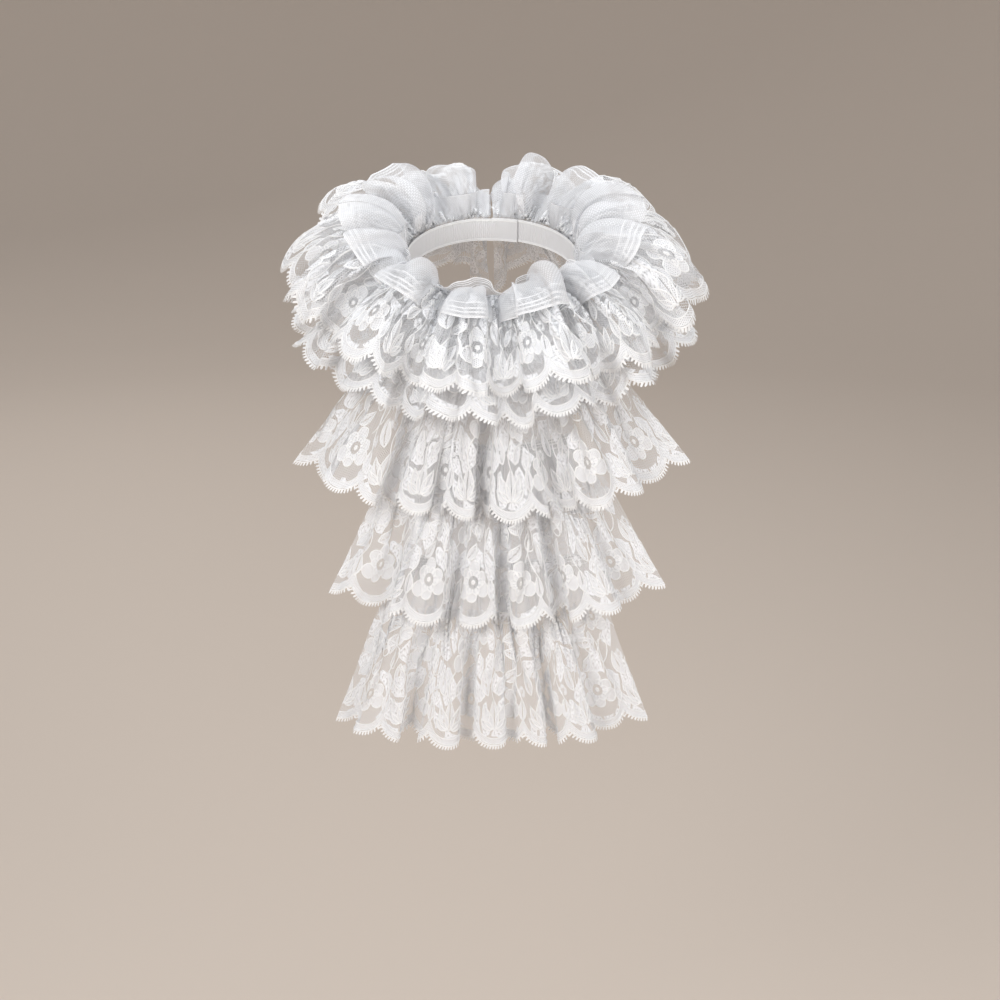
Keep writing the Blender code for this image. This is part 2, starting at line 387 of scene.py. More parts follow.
def backing_points(across, down):
    """The backing panel: straight lines from an arc under the neckband to a shallow arc at its foot."""
    side = 1 - 2 * across
    turn = 0.5 - side * BACKING_REACH / (2 * np.pi)
    top = neckline(turn, layer_middle(0), BAND_BOTTOM - SEAM_GAP)
    beside = side * BACKING_FOOT_HALF_WIDTH
    foot = BACKING_FOOT + beside[..., None] * SIDE
    foot[..., 1] += beside**2 / (2 * BACKING_FOOT_BEND)
    return top + (foot - top) * down[..., None]


def tier_form(spec):
    """A tier without its folds: it leans out from its seam, then hangs, and fans out to both sides."""

    def form(across, down):
        side = 1 - 2 * across
        seam_row = spec["seam"] + 0 * across
        seam = backing_points(across, seam_row) + LAYER * normals_of(backing_points, across, seam_row)
        plumb, out = bent_run(down, spec["fall"], spec["lean_start"], spec["lean_end"])
        fan = np.radians(np.where(side > 0, spec["fan"]["left"], spec["fan"]["right"])) * side
        face = np.radians(spec["face_turn"]) * side
        move_x = plumb * np.sin(fan) + out * np.sin(face)
        return seam + np.stack([move_x, -out * np.cos(face), -plumb * np.cos(fan)], axis=-1)

    return form


print("tiers:", ", ".join(TIERS))

# %% [markdown]
# ## Folds
#
# The large folds are a table: one row for each fold, with its share of the hem and how far its crest stands
# out in metres. A ruffle's fold also has a droop, which is how many degrees steeper it falls. A crest is
# broad and flat and a valley is narrow, because the crest of a soft pleat overhangs its foot. The cloth is
# walked along the hem, fold by fold, so that every fold takes up as much cloth as its shape needs. A Wave
# modifier would be quicker, but its folds would all be alike.

# %% The large folds
CREST_SPREAD = 0.11
FOLD_OVERHANG = 0.12
CREST_FLATNESS = 0.75
FULL_FOLD = 0.45
FOLD_GROWTH = 0.65
FOLD_SAMPLES = 96
COLLAR_FOLD_COLUMNS = ("width", "depth", "droop")
TIER_FOLD_COLUMNS = ("width", "depth")
FOLDS = {
    "collar_ruffle_lower": (
        (0.080, 0.028, 0),
        (0.090, 0.030, 0),
        (0.075, 0.028, 4),
        (0.085, 0.032, -4),
        (0.070, 0.024, 0),
        (0.080, 0.022, -2),
        (0.095, 0.022, 0),
        (0.070, 0.022, -4),
        (0.085, 0.026, -4),
        (0.090, 0.034, 0),
        (0.080, 0.030, 6),
        (0.100, 0.028, 0),
    ),
    "collar_ruffle_upper": (
        (0.085, 0.028, 0),
        (0.075, 0.030, -8),
        (0.090, 0.036, 4),
        (0.080, 0.034, -4),
        (0.070, 0.028, 6),
        (0.090, 0.026, 0),
        (0.080, 0.024, 4),
        (0.090, 0.028, -3),
        (0.070, 0.028, -6),
        (0.090, 0.036, -2),
        (0.085, 0.034, -8),
        (0.095, 0.028, 0),
    ),
    "jabot_tier_1": (
        (0.110, 0.000),
        (0.240, 0.022),
        (0.180, 0.024),
        (0.095, 0.015),
        (0.110, 0.018),
        (0.185, 0.024),
        (0.080, 0.000),
    ),
    "jabot_tier_2": (
        (0.130, 0.000),
        (0.190, 0.023),
        (0.150, 0.020),
        (0.140, 0.018),
        (0.210, 0.023),
        (0.180, 0.000),
    ),
    "jabot_tier_3": (
        (0.160, 0.000),
        (0.160, 0.021),
        (0.120, 0.017),
        (0.140, 0.017),
        (0.170, 0.021),
        (0.210, 0.018),
        (0.040, 0.000),
    ),
}


def fold_rows(name):
    """A strip's folds by their columns' names, with widths that add up to the whole hem."""
    columns = COLLAR_FOLD_COLUMNS if name in COLLARS else TIER_FOLD_COLUMNS
    rows = [dict(zip(columns, row)) for row in FOLDS[name]]
    whole = sum(row["width"] for row in rows)
    return [{**row, "width": row["width"] / whole} for row in rows]


def fold_walk(folds, hem_width):
    """Flat shares along a hem and, at each, its place across it and the folds' sideways shift and lift."""
    place, shift, lift = [], [], []
    start = 0.0
    phase = np.arange(FOLD_SAMPLES) / FOLD_SAMPLES
    for fold in folds:
        width, depth = fold["width"], fold["depth"]
        fullness = min(1.0, depth / (FULL_FOLD * width * hem_width)) * width
        swing = -CREST_SPREAD * np.sin(2 * np.pi * phase) + FOLD_OVERHANG * np.sin(4 * np.pi * phase)
        place.append(start + width * phase)
        shift.append(fullness * swing)
        lift.append(depth * ((1 - np.cos(2 * np.pi * phase)) / 2) ** CREST_FLATNESS)
        start += width
    place = np.append(np.concatenate(place), 1.0)
    shift = np.append(np.concatenate(shift), 0.0)
    lift = np.append(np.concatenate(lift), 0.0)
    steps = np.hypot(np.diff(place + shift) * hem_width, np.diff(lift))
    walked = np.concatenate([[0.0], np.cumsum(steps)])
    return walked / walked[-1], place, shift, lift


print("large folds:", sum(len(rows) for rows in FOLDS.values()))

# %% [markdown]
# The large folds are not all that a gathered strip has. Where it is sewn, the same cloth has to fit into
# about a quarter of its length, so it stands in many small gathers. They run out within a hand's breadth,
# and fewer, wider waves take their place. The free headings puff out in round loops: little ones on the
# lower ruffle, whose heading is narrow, and large ones on the upper ruffle, which rise off the lace below.
# None of them is as wide or as deep as its neighbour, so the pitch and strength wander. A loop is wider than
# its foot, so the cloth also swings along the strip.

# %% The sizes of gathers, waves and puffs
RIPPLES = {
    "gathers": {
        "pitch": 10.0 * MM,
        "fall": {"depth": 6.5 * MM, "at_seam": 0.6, "peak": 12 * MM, "reach": 42 * MM},
        "heading": {"depth": 5.0 * MM, "at_seam": 0.6, "peak": 4 * MM, "reach": 9 * MM},
    },
    "waves": {
        "pitch": 48.0 * MM,
        "fall": {"depth": 11.0 * MM, "at_seam": 0.0, "peak": 35 * MM, "reach": 90 * MM},
        "heading": {"depth": 3.0 * MM, "at_seam": 0.0, "peak": 10 * MM, "reach": 20 * MM},
    },
    "puffs": {
        "pitch": 74.0 * MM,
        "fall": {"depth": 0.0, "at_seam": 0.0, "peak": 10 * MM, "reach": 30 * MM},
        "heading": {"depth": 14.0 * MM, "at_seam": 0.0, "peak": 26 * MM, "reach": 26 * MM},
    },
}
SWING_SHARE = 0.26
TIER_RIPPLES = 0.85
LOOSE_HEADING = 1.5
PUFF_SIDE = {"collar_ruffle_lower": 0.35, "collar_ruffle_upper": -1.25}
# Each wander is how long it takes to come round, in pitches, and how strong it is. The reach's is in metres.
WANDER = ((6.7, 1.3), (3.3, 0.8))
STRENGTH_WANDER = (4.9, 0.45)
REACH_WANDER = (61 * MM, 0.45)
MEANDER = 5.0 * MM
MEANDER_DOWN = 95 * MM
MEANDER_ALONG = 130 * MM
STEADY_DEPTH = 30 * MM
STRENGTH_SEED = 3
print("ripples:", {name: f"{ripple['pitch'] / MM:.0f} mm apart" for name, ripple in RIPPLES.items()})

# %% Gathers by the seam, waves below them, and puffs in the headings
def eased(share):
    """A share from 0 to 1 that starts and ends softly."""
    return share * share * (3 - 2 * share)


def uneven_wave(along, pitch, seed):
    """A wave along the cloth whose pitch and strength wander: its height, from 0 to 1, and its swing."""
    phase = 2 * np.pi * along / pitch
    for times, amount in WANDER:
        phase = phase + amount * np.sin(2 * np.pi * along / (times * pitch) + seed * times)
    times, amount = STRENGTH_WANDER
    strength = 1 - amount + amount * np.sin(2 * np.pi * along / (times * pitch) + STRENGTH_SEED * seed)
    return strength * (1 - np.cos(phase)) / 2, strength * np.sin(2 * phase)


def ripple_shape(along, down, seed, puff_side):
    """How far the ripples stand out and swing along, at a place on the strip and a distance from its seam.

    puff_side says how strong the heading's puffs are, and is negative where they rise off the cloth below.
    """
    turn = 2 * np.pi * (down / MEANDER_DOWN + along / MEANDER_ALONG) + seed
    spell, amount = REACH_WANDER
    longer = 1 + amount * np.sin(2 * np.pi * along / spell + seed)
    along = along + MEANDER * np.clip(down / STEADY_DEPTH, 0, 1) * np.sin(turn)
    lift, swing = 0.0, 0.0
    for kind, ripple in RIPPLES.items():
        side = puff_side if kind == "puffs" else 1.0
        heading, fall = ripple["heading"], ripple["fall"]
        part = {key: np.where(down < 0, heading[key], fall[key]) for key in fall}
        rise = np.clip(np.abs(down) / part["peak"], 0, 1)
        share = part["at_seam"] + (1 - part["at_seam"]) * eased(rise)
        fade = np.exp(-((np.maximum(np.abs(down) - part["peak"], 0) / (longer * part["reach"])) ** 2))
        height, sideways = uneven_wave(along, ripple["pitch"], seed)
        lift = lift + side * part["depth"] * share * fade * height
        swing = swing + SWING_SHARE * abs(side) * part["depth"] * share * fade * sideways
    return lift, swing


crest, _ = uneven_wave(np.linspace(0, 1, 1000), RIPPLES["gathers"]["pitch"], seed=0)
print(f"gathers in a metre of lace: from {crest.min():.2f} to {crest.max():.2f} of their full depth")

# %% [markdown]
# Gathers and folds are still too even for cloth that was worn and pressed by hand. So each strip also has a
# few creases of its own, placed one by one: a row gives the crease's place along the strip, where it starts
# and ends below the seam, how far it slants on its way, its width, and its depth. A negative depth is a
# trough, and a crease with a negative start is in the heading. They are on the sides and the back too,
# where no picture shows them but the cloth behaves the same.

# %% Creases, placed one by one
CREASE_COLUMNS = ("place", "top", "foot", "slant", "width", "depth")
CREASES = {
    "collar_ruffle_lower": (
        (0.035, 18, 88, 6, 6, 3.5),
        (0.110, 30, 96, -9, 8, -4.0),
        (0.170, 8, 70, 5, 5, 3.0),
        (0.235, 34, 92, 10, 7, 4.0),
        (0.290, 12, 64, -6, 5, -3.0),
        (0.350, 40, 98, 8, 6, 3.0),
        (0.418, 10, 74, -10, 7, 4.0),
        (0.462, 30, 90, 7, 5, -3.0),
        (0.520, 22, 96, -5, 6, 3.5),
        (0.575, 6, 60, 9, 5, 3.0),
        (0.640, 36, 94, -8, 8, -4.0),
        (0.705, 14, 80, 6, 6, 3.5),
        (0.770, 26, 92, 11, 5, -3.0),
        (0.838, 10, 66, -7, 7, 4.0),
        (0.905, 32, 90, 5, 6, 3.0),
        (0.960, 18, 78, -6, 5, -2.5),
    ),
    "collar_ruffle_upper": (
        (0.028, 24, 86, -6, 7, 4.0),
        (0.082, 8, 60, 8, 5, -3.0),
        (0.150, 34, 90, -10, 8, 4.0),
        (0.205, 12, 74, 5, 6, 3.5),
        (0.262, 28, 88, 9, 5, -3.5),
        (0.330, 6, 62, -8, 7, 4.0),
        (0.382, 30, 90, 6, 5, 3.0),
        (0.436, 16, 82, -9, 8, -4.5),
        (0.492, 36, 92, 4, 6, 3.5),
        (0.548, 10, 66, 10, 5, -3.0),
        (0.612, 26, 84, -6, 7, 4.0),
        (0.668, 8, 72, 8, 6, 3.0),
        (0.730, 32, 92, -11, 5, -3.5),
        (0.795, 14, 70, 5, 8, 4.0),
        (0.862, 28, 88, 9, 6, -3.0),
        (0.930, 10, 76, -7, 6, 3.5),
        (0.045, -46, -8, 7, 9, -5.0),
        (0.118, -44, -6, -12, 8, 5.0),
        (0.186, -48, -12, 10, 10, -6.0),
        (0.250, -46, -10, 8, 9, 5.0),
        (0.312, -42, -4, -14, 7, -5.0),
        (0.360, -48, -10, 9, 9, 4.5),
        (0.415, -44, -6, -6, 8, -4.0),
        (0.505, -46, -14, 9, 10, 5.0),
        (0.590, -42, -8, -7, 8, 4.0),
        (0.645, -48, -6, 12, 8, -5.0),
        (0.700, -44, -10, -9, 9, 5.5),
        (0.760, -46, -10, 6, 9, -5.0),
        (0.826, -48, -8, -13, 8, 5.0),
        (0.884, -44, -6, 8, 10, -5.0),
        (0.940, -44, -12, -8, 8, 4.0),
    ),
    "jabot_tier_1": (
        (0.050, 40, 146, -12, 7, 2.5),
        (0.155, 30, 140, 9, 6, -3.0),
        (0.270, 44, 150, -6, 5, 2.5),
        (0.395, 24, 132, 8, 7, 3.0),
        (0.500, 52, 148, -5, 5, -2.5),
        (0.585, 30, 126, 6, 6, 2.5),
        (0.690, 46, 150, -9, 7, 3.0),
        (0.800, 22, 138, 7, 5, -2.5),
        (0.925, 36, 144, 12, 8, 3.0),
    ),
    "jabot_tier_2": (
        (0.070, 34, 140, -8, 6, 2.5),
        (0.190, 48, 146, 6, 5, -2.5),
        (0.330, 26, 134, -7, 7, 3.0),
        (0.445, 40, 148, 5, 5, 2.0),
        (0.560, 22, 120, -6, 6, -3.0),
        (0.680, 44, 146, 9, 7, 2.5),
        (0.815, 30, 136, -5, 5, 2.5),
        (0.930, 50, 144, 8, 7, -2.5),
    ),
    "jabot_tier_3": (
        (0.060, 44, 150, 6, 6, 2.5),
        (0.180, 26, 138, -8, 7, -3.0),
        (0.300, 50, 152, 5, 5, 2.0),
        (0.420, 32, 128, -6, 6, 2.5),
        (0.535, 20, 146, 7, 5, -2.5),
        (0.660, 46, 150, -7, 7, 3.0),
        (0.790, 30, 140, 6, 6, -2.5),
        (0.930, 40, 148, 9, 7, 2.5),
    ),
}


def crease_lift(name, along, down, length):
    """How far a strip's creases stand out at a place along it and a distance from its seam."""
    lift = 0.0
    for row in CREASES[name]:
        crease = dict(zip(CREASE_COLUMNS, row))
        run = (down / MM - crease["top"]) / (crease["foot"] - crease["top"])
        middle = crease["place"] * length + crease["slant"] * MM * (run - 0.5)
        beside = (along - middle) / (crease["width"] * MM)
        lift = lift + crease["depth"] * MM * np.clip(1 - (2 * run - 1) ** 2, 0, 1) * np.exp(-(beside**2))
    return lift


print("creases:", sum(len(rows) for rows in CREASES.values()))

# %% [markdown]
# ## Laying a strip out
#
# Each strip is worked out once, as a net of points and normals. Its columns run across the strip, and its
# rows run along it: from the edge of its heading, over its seam, to its scalloped hem. Later the flowers
# are carried on to the same net, so they lie on the cloth exactly. The last few millimetres are left free
# for the loops that edge the hem.
#
# The folds below a seam grow towards the hem. Above it they turn over, so that a crest goes on as a valley,
# because the seam pinches the cloth in between. Nothing holds the headings down, so they fold more deeply
# there.

# %% The scalloped edge
SCALLOP = 40 * MM
SCALLOP_DEPTH = 11 * MM
LOOP_LENGTH = 3.4 * MM


def scallop(along):
    """0 at the notches and 1 at the tips of a row of arcs. The strip's ends are tips."""
    half_pitch = SCALLOP / 2
    radius = (half_pitch**2 + SCALLOP_DEPTH**2) / (2 * SCALLOP_DEPTH)
    beside = half_pitch * (2 * np.mod(along / SCALLOP + 0.5, 1.0) - 1)
    return (np.sqrt(radius**2 - beside**2) - (radius - SCALLOP_DEPTH)) / SCALLOP_DEPTH


def hem_rise(along):
    """How far the hem lies above the line through its tips, in metres, at a place along the flat lace."""
    return SCALLOP_DEPTH * (1 - scallop(along))


def net_fall(fall, along):
    """How far the net reaches below a strip's seam, at a place along it. Only the loops hang lower."""
    return fall - hem_rise(along) - LOOP_LENGTH


print(f"a scallop is {SCALLOP / MM:.0f} mm wide and {SCALLOP_DEPTH / MM:.0f} mm deep")

# %% One strip, gathered
COLUMN_WIDTH = 1.5 * MM
ROW_HEIGHT = 2.4 * MM
FALL_STANDOFF = 0.5
UPPER_STANDOFF = 2.0 * MM
STANDOFF_REACH = 30 * MM


def collar_growth(spec, folds, down):
    """How far a collar ruffle's folds have grown, and are set back, at a distance from its seam."""
    row = down / spec["fall"]
    above = -down / spec["heading"]
    plain = spec["heading_plain"] / spec["heading"]
    loose = np.clip((above - plain) / (1 - plain), 0, 1)
    heading_growth = -LOOSE_HEADING * (spec["heading_share"] * loose) ** FOLD_GROWTH
    growth = np.where(down < 0, heading_growth, np.maximum(row, 0) ** FOLD_GROWTH)
    mean_depth = np.mean([fold["depth"] for fold in folds])
    return growth, -mean_depth * np.where(down < 0, spec["heading_standoff"], FALL_STANDOFF)


def run_of(form, across, down):
    """Unit vectors along a form, from its first end to its last."""
    return unit(form(across + NORMAL_STEP, down) - form(across - NORMAL_STEP, down))


def gathered(name, along, down):
    """Points of a strip, from a place along its flat cloth and a distance down from its seam, in metres."""
    folds = fold_rows(name)
    if name in COLLARS:
        spec = COLLARS[name]
        form, hem_width = collar_form(spec, folds), 2 * np.pi * spec["hem_radius"]
        growth, base_lift = collar_growth(spec, folds, down)
        standoff = (spec["layer"] - 1) * UPPER_STANDOFF * np.exp(-((down / STANDOFF_REACH) ** 2))
    else:
        spec = TIERS[name]
        form, hem_width = tier_form(spec), spec["hem_width"]
        growth, base_lift, standoff = (down / spec["fall"]) ** FOLD_GROWTH, 0.0, 0.0
    flat = along / (spec["scallops"] * SCALLOP)
    shares, place, shift, lift = fold_walk(folds, hem_width)
    across = np.interp(flat, shares, place) + np.abs(growth) * np.interp(flat, shares, shift)
    out = growth * (np.interp(flat, shares, lift) + base_lift) + standoff
    seed = len(name) + spec["scallops"]
    lift, swing = ripple_shape(along, down, seed, PUFF_SIDE.get(name, 0.0))
    if name in TIERS:
        lift, swing = TIER_RIPPLES * lift, TIER_RIPPLES * swing
    out = out + lift + crease_lift(name, along, down, spec["scallops"] * SCALLOP)
    beside = run_of(form, across, down) * swing[..., None]
    return form(across, down) + normals_of(form, across, down) * out[..., None] + beside


def lay_out(name):
    """A strip's net of points and normals, with what is needed to find a place on it."""
    spec = COLLARS.get(name) or TIERS[name]
    length, heading = spec["scallops"] * SCALLOP, spec.get("heading", 0.0)
    columns, heading_rows = round(length / COLUMN_WIDTH), round(heading / ROW_HEIGHT)
    fall_rows = round(spec["fall"] / ROW_HEIGHT)
    along = np.linspace(0, length, columns + 1)
    edge = net_fall(spec["fall"], along)
    above = np.linspace(-heading, 0, heading_rows + 1)[:-1, None] + 0 * edge
    below = np.linspace(0, 1, fall_rows + 1)[:, None] * edge
    down = np.concatenate([above, below])
    along = along + 0 * down
    points = gathered(name, along, down)
    return {
        "name": name,
        "length": length,
        "heading": heading,
        "fall": spec["fall"],
        "heading_rows": heading_rows,
        "fall_rows": fall_rows,
        "along": along,
        "down": down,
        "points": points,
        "normals": unit(np.cross(np.gradient(points, axis=1), np.gradient(points, axis=0))),
    }


strips = {name: lay_out(name) for name in [*COLLARS, *TIERS]}
print("strips:", {name: f"{strip['length']:.2f} m" for name, strip in strips.items()})

# %% [markdown]
# ## The net
#
# A strip of net is a flat grid, as Add > Mesh > Grid makes it, and each of its points is moved to its
# place. Its UV map keeps the flat cloth's own metres, so that the holes are the same size all over.
#
# The holes are in the material, because threads as fine as these would take millions of faces. Three cosine
# waves that cross at 60 degrees add up to a honeycomb: their sum is low along the threads and high in the
# holes. The sum drives the alpha.

# %% A few helpers for materials
SHEEN_ROUGHNESS = 0.4
THREAD_GLOSS = 0.3


def new_material(name, colour, roughness, sheen):
    """A white thread finish, with its tree and shader."""
    made = bpy.data.materials.new(name)
    made.use_nodes = True
    shader = made.node_tree.nodes["Principled BSDF"]
    shader.inputs["Base Color"].default_value = (*colour, 1)
    shader.inputs["Roughness"].default_value = roughness
    shader.inputs["Sheen Weight"].default_value = sheen
    shader.inputs["Sheen Roughness"].default_value = SHEEN_ROUGHNESS
    shader.inputs["Specular IOR Level"].default_value = THREAD_GLOSS
    return made, made.node_tree, shader


def maths(tree, operation, first, second=None, third=None, clamp=False):
    """A Math node's output. Each input is a number or another node's output."""
    node = tree.nodes.new("ShaderNodeMath")
    node.operation = operation
    node.use_clamp = clamp
    for socket, value in zip(node.inputs, (first, second, third)):
        if isinstance(value, bpy.types.NodeSocket):
            tree.links.new(value, socket)
        elif value is not None:
            socket.default_value = value
    return node.outputs["Value"]


def cloth_place(tree):
    """A place on the flat cloth in metres, along it and across it, from the piece's UV map."""
    uv = tree.nodes.new("ShaderNodeUVMap")
    uv.uv_map = "flat_cloth"
    parts = tree.nodes.new("ShaderNodeSeparateXYZ")
    tree.links.new(uv.outputs["UV"], parts.inputs["Vector"])
    return parts.outputs["X"], parts.outputs["Y"]


def honeycomb(tree, along, across, cell):
    """Three crossed waves: low along a honeycomb's threads and high in its holes."""
    wave = 4 * math.pi / (math.sqrt(3) * cell)
    u = maths(tree, "MULTIPLY", along, wave)
    half_u = maths(tree, "MULTIPLY", along, wave / 2)
    v = maths(tree, "MULTIPLY", across, wave * math.sqrt(3) / 2)
    first = maths(tree, "COSINE", u)
    second = maths(tree, "COSINE", maths(tree, "ADD", half_u, v))
    third = maths(tree, "COSINE", maths(tree, "SUBTRACT", half_u, v))
    return maths(tree, "ADD", first, maths(tree, "ADD", second, third))


def thread_alpha(tree, wave, level, steepness):
    """Alpha 1 where a wave is under its level, and 0 above it, with a soft edge."""
    below = maths(tree, "SUBTRACT", level, wave)
    return maths(tree, "MULTIPLY_ADD", below, steepness, 0.5, clamp=True)


print("a thread's gloss:", THREAD_GLOSS, "and its sheen's roughness:", SHEEN_ROUGHNESS)

# %% [markdown]
# Much of this lace is cloth work: patches where the threads lie close, with thin lines of open net
# between them. A Voronoi texture gives such patches. Its distance to the edge draws the open lines and a
# closer rim, its colour leaves some patches open, and a little noise bends it all so that no edge is
# straight. The headings stay plain: their net is closer and its threads are finer, so they look sheer.

# %% Patches of close threads
PATCH = 15.0 * MM
PATCH_STRETCH = 0.72
PATCH_GAP = 0.070
PATCH_RIM = 0.060
PATCH_DENSITY = 0.86
PATCH_EDGE = 60.0
OPEN_PATCHES = 0.48
WARP_SIZE = 17.0 * MM
WARP_DETAIL = 1.0
WARP = 9.0 * MM
GRAIN = 1.5 * MM
GRAIN_DETAIL = 0.0
GRAIN_SHARE = 0.60
ROSE_PLACE = (40 * MM, 31 * MM)
ROSE_ROOM = 18.5 * MM
HEADING_DENSITY = 0.40


def texture(tree, kind, place, size):
    """A texture node in two dimensions, whose features are about a size in metres."""
    node = tree.nodes.new(kind)
    if kind == "ShaderNodeTexNoise":
        node.noise_dimensions = "2D"
    else:
        node.voronoi_dimensions = "2D"
    node.inputs["Scale"].default_value = 1 / size
    tree.links.new(place, node.inputs["Vector"])
    return node


def bent_place(tree, along, above):
    """The cloth's place, stretched and pushed about by noise, so that patches are long and bent."""
    flat = tree.nodes.new("ShaderNodeCombineXYZ")
    tree.links.new(along, flat.inputs["X"])
    tree.links.new(maths(tree, "MULTIPLY", above, PATCH_STRETCH), flat.inputs["Y"])
    noise = texture(tree, "ShaderNodeTexNoise", flat.outputs["Vector"], WARP_SIZE)
    noise.inputs["Detail"].default_value = WARP_DETAIL
    push = tree.nodes.new("ShaderNodeVectorMath")
    push.operation = "MULTIPLY_ADD"
    tree.links.new(noise.outputs["Color"], push.inputs[0])
    push.inputs[1].default_value = (WARP, WARP, 0)
    tree.links.new(flat.outputs["Vector"], push.inputs[2])
    return push.outputs["Vector"]


def off_the_rose(tree, along, above):
    """1 away from the large flower over every second scallop, and 0 round it and in the net under it."""
    middle, height = ROSE_PLACE
    beside = maths(tree, "SUBTRACT", maths(tree, "MODULO", along, 2 * middle), middle)
    up = maths(tree, "SUBTRACT", above, height)
    square = maths(tree, "ADD", maths(tree, "MULTIPLY", beside, beside), maths(tree, "MULTIPLY", up, up))
    return maths(tree, "GREATER_THAN", square, ROSE_ROOM**2)


def patch_density(tree, along, above, low):
    """How much of the cloth the patches cover at each place, from 0 to 1, with a grain."""
    place = bent_place(tree, along, above)
    edges = texture(tree, "ShaderNodeTexVoronoi", place, PATCH)
    edges.feature = "DISTANCE_TO_EDGE"
    cells = texture(tree, "ShaderNodeTexVoronoi", place, PATCH)
    colour = tree.nodes.new("ShaderNodeSeparateColor")
    tree.links.new(cells.outputs["Color"], colour.inputs["Color"])
    inside = maths(tree, "SUBTRACT", edges.outputs["Distance"], PATCH_GAP)
    inside = maths(tree, "MULTIPLY", inside, PATCH_EDGE, clamp=True)
    kept = maths(tree, "GREATER_THAN", colour.outputs["Red"], OPEN_PATCHES)
    kept = maths(tree, "MULTIPLY", kept, off_the_rose(tree, along, above))
    rim = maths(tree, "LESS_THAN", edges.outputs["Distance"], PATCH_GAP + PATCH_RIM)
    noise = texture(tree, "ShaderNodeTexNoise", place, GRAIN)
    noise.inputs["Detail"].default_value = GRAIN_DETAIL
    grain = maths(tree, "SUBTRACT", noise.outputs["Fac"], 0.5)
    density = maths(tree, "MULTIPLY_ADD", grain, 2 * GRAIN_SHARE, PATCH_DENSITY)
    density = maths(tree, "MAXIMUM", density, rim, clamp=True)
    room_for_work = maths(tree, "MULTIPLY", inside, maths(tree, "MULTIPLY", kept, low))
    worked = maths(tree, "MULTIPLY", density, room_for_work)
    plain = maths(tree, "MULTIPLY_ADD", low, -HEADING_DENSITY, HEADING_DENSITY)
    return maths(tree, "MAXIMUM", worked, plain)


print("patches:", round(PATCH / MM), "mm")

# %% The net's own material
NET_CELL = 1.6 * MM
NET_LEVEL = -0.83
NET_STEEPNESS = 1.2
NET_WHITE = (0.880, 0.890, 0.915)
WORK_TOP = 112 * MM
WORK_FADE = 3 * MM
HEADING_THREADS = 0.66


def below_the_heading(tree, above):
    """1 where the lace is worked, and 0 in the plain heading above it."""
    low = maths(tree, "SUBTRACT", WORK_TOP, above)
    return maths(tree, "DIVIDE", low, WORK_FADE, clamp=True)


def net_material():
    """Open net with closer patches in it, and finer, plain net in the heading."""
    made, tree, shader = new_material("lace_net", NET_WHITE, roughness=0.7, sheen=0.25)
    along, above = cloth_place(tree)
    net = thread_alpha(tree, honeycomb(tree, along, above, NET_CELL), NET_LEVEL, NET_STEEPNESS)
    low = below_the_heading(tree, above)
    strength = maths(tree, "MULTIPLY_ADD", low, 1 - HEADING_THREADS, HEADING_THREADS)
    net = maths(tree, "MULTIPLY", net, strength)
    alpha = maths(tree, "MAXIMUM", net, patch_density(tree, along, above, low))
    tree.links.new(alpha, shader.inputs["Alpha"])
    return made


lace_net = net_material()
print("net cells:", round(NET_CELL / MM, 2), "mm")

# %% Lay the net of each strip
def set_flat_uv(mesh, flat):
    """Gives a mesh its one UV map, the flat cloth's metres, from a place for each vertex."""
    for old in list(mesh.uv_layers):
        mesh.uv_layers.remove(old)
    layer = mesh.uv_layers.new(name="flat_cloth")
    corner = np.empty(len(mesh.loops), dtype=np.int32)
    mesh.loops.foreach_get("vertex_index", corner)
    layer.uv.foreach_set("vector", flat[corner].astype(np.float32).ravel())


def grid_at(name, points, finish):
    """A grid that is added flat and then moved to its points, row by row."""
    rows, columns = points.shape[0] - 1, points.shape[1] - 1
    select_only()
    bpy.ops.mesh.primitive_grid_add(x_subdivisions=columns, y_subdivisions=rows, size=1, location=(0, 0, 0))
    piece = bpy.context.object
    piece.name = name
    piece.data.name = name
    piece.data.vertices.foreach_set("co", points.astype(np.float32).reshape(-1))
    piece.data.materials.append(finish)
    piece.data.shade_smooth()
    piece.data.update()
    return piece


def add_cloth(name, points, flat, finish):
    """A grid of cloth that keeps its flat cloth's metres as its UV map."""
    piece = grid_at(name, points, finish)
    set_flat_uv(piece.data, flat.reshape(-1, 2))
    return piece


def add_strip(strip):
    """The net of a strip. It stands for the strip's CAD node, which is hidden."""
    flat = np.stack([strip["along"], strip["fall"] - strip["down"]], axis=-1)
    piece = add_cloth(strip["name"] + "_net", strip["points"], flat, lace_net)
    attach(piece, "root")
    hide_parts(strip["name"])
    return piece


nets = {name: add_strip(strip) for name, strip in strips.items()}
print("net faces:", {name: len(net.data.polygons) for name, net in nets.items()})

# %% [markdown]
# ## The flowers of the lace
#
# In real lace a thicker thread fills the petals and leaves, and a cord outlines them. We draw one repeat
# flat, two scallops wide, with x along the lace and y up from the tips of its scallops. All of it is made
# from two things: a filled shape, which is a grid pushed into the outline of a petal, leaf or band, and a
# cord, which is a narrow ridge along a path. The flowers are plain ones of five and six petals, such as
# most lace has. No two petals of a flower have quite the same length or spacing, and the large ones carry a
# second ring of smaller petals.
#
# The flowers could be one more pattern in the net's material. As meshes they stand up from the net as the
# real ones do, and their edges stay sharp. The fill lets a little light through between its threads, and
# the cord none.

# %% Two finishes of thread
FILL_WHITE = (0.905, 0.912, 0.930)
FILL_CELL = 1.4 * MM
FILL_LEVEL = 1.20
FILL_STEEPNESS = 0.35
CORD_WHITE = (0.985, 0.986, 0.988)
CORD_TWIST = 0.8 * MM
THREAD_BUMP = 0.08 * MM
BUMP_STRENGTH = 0.6


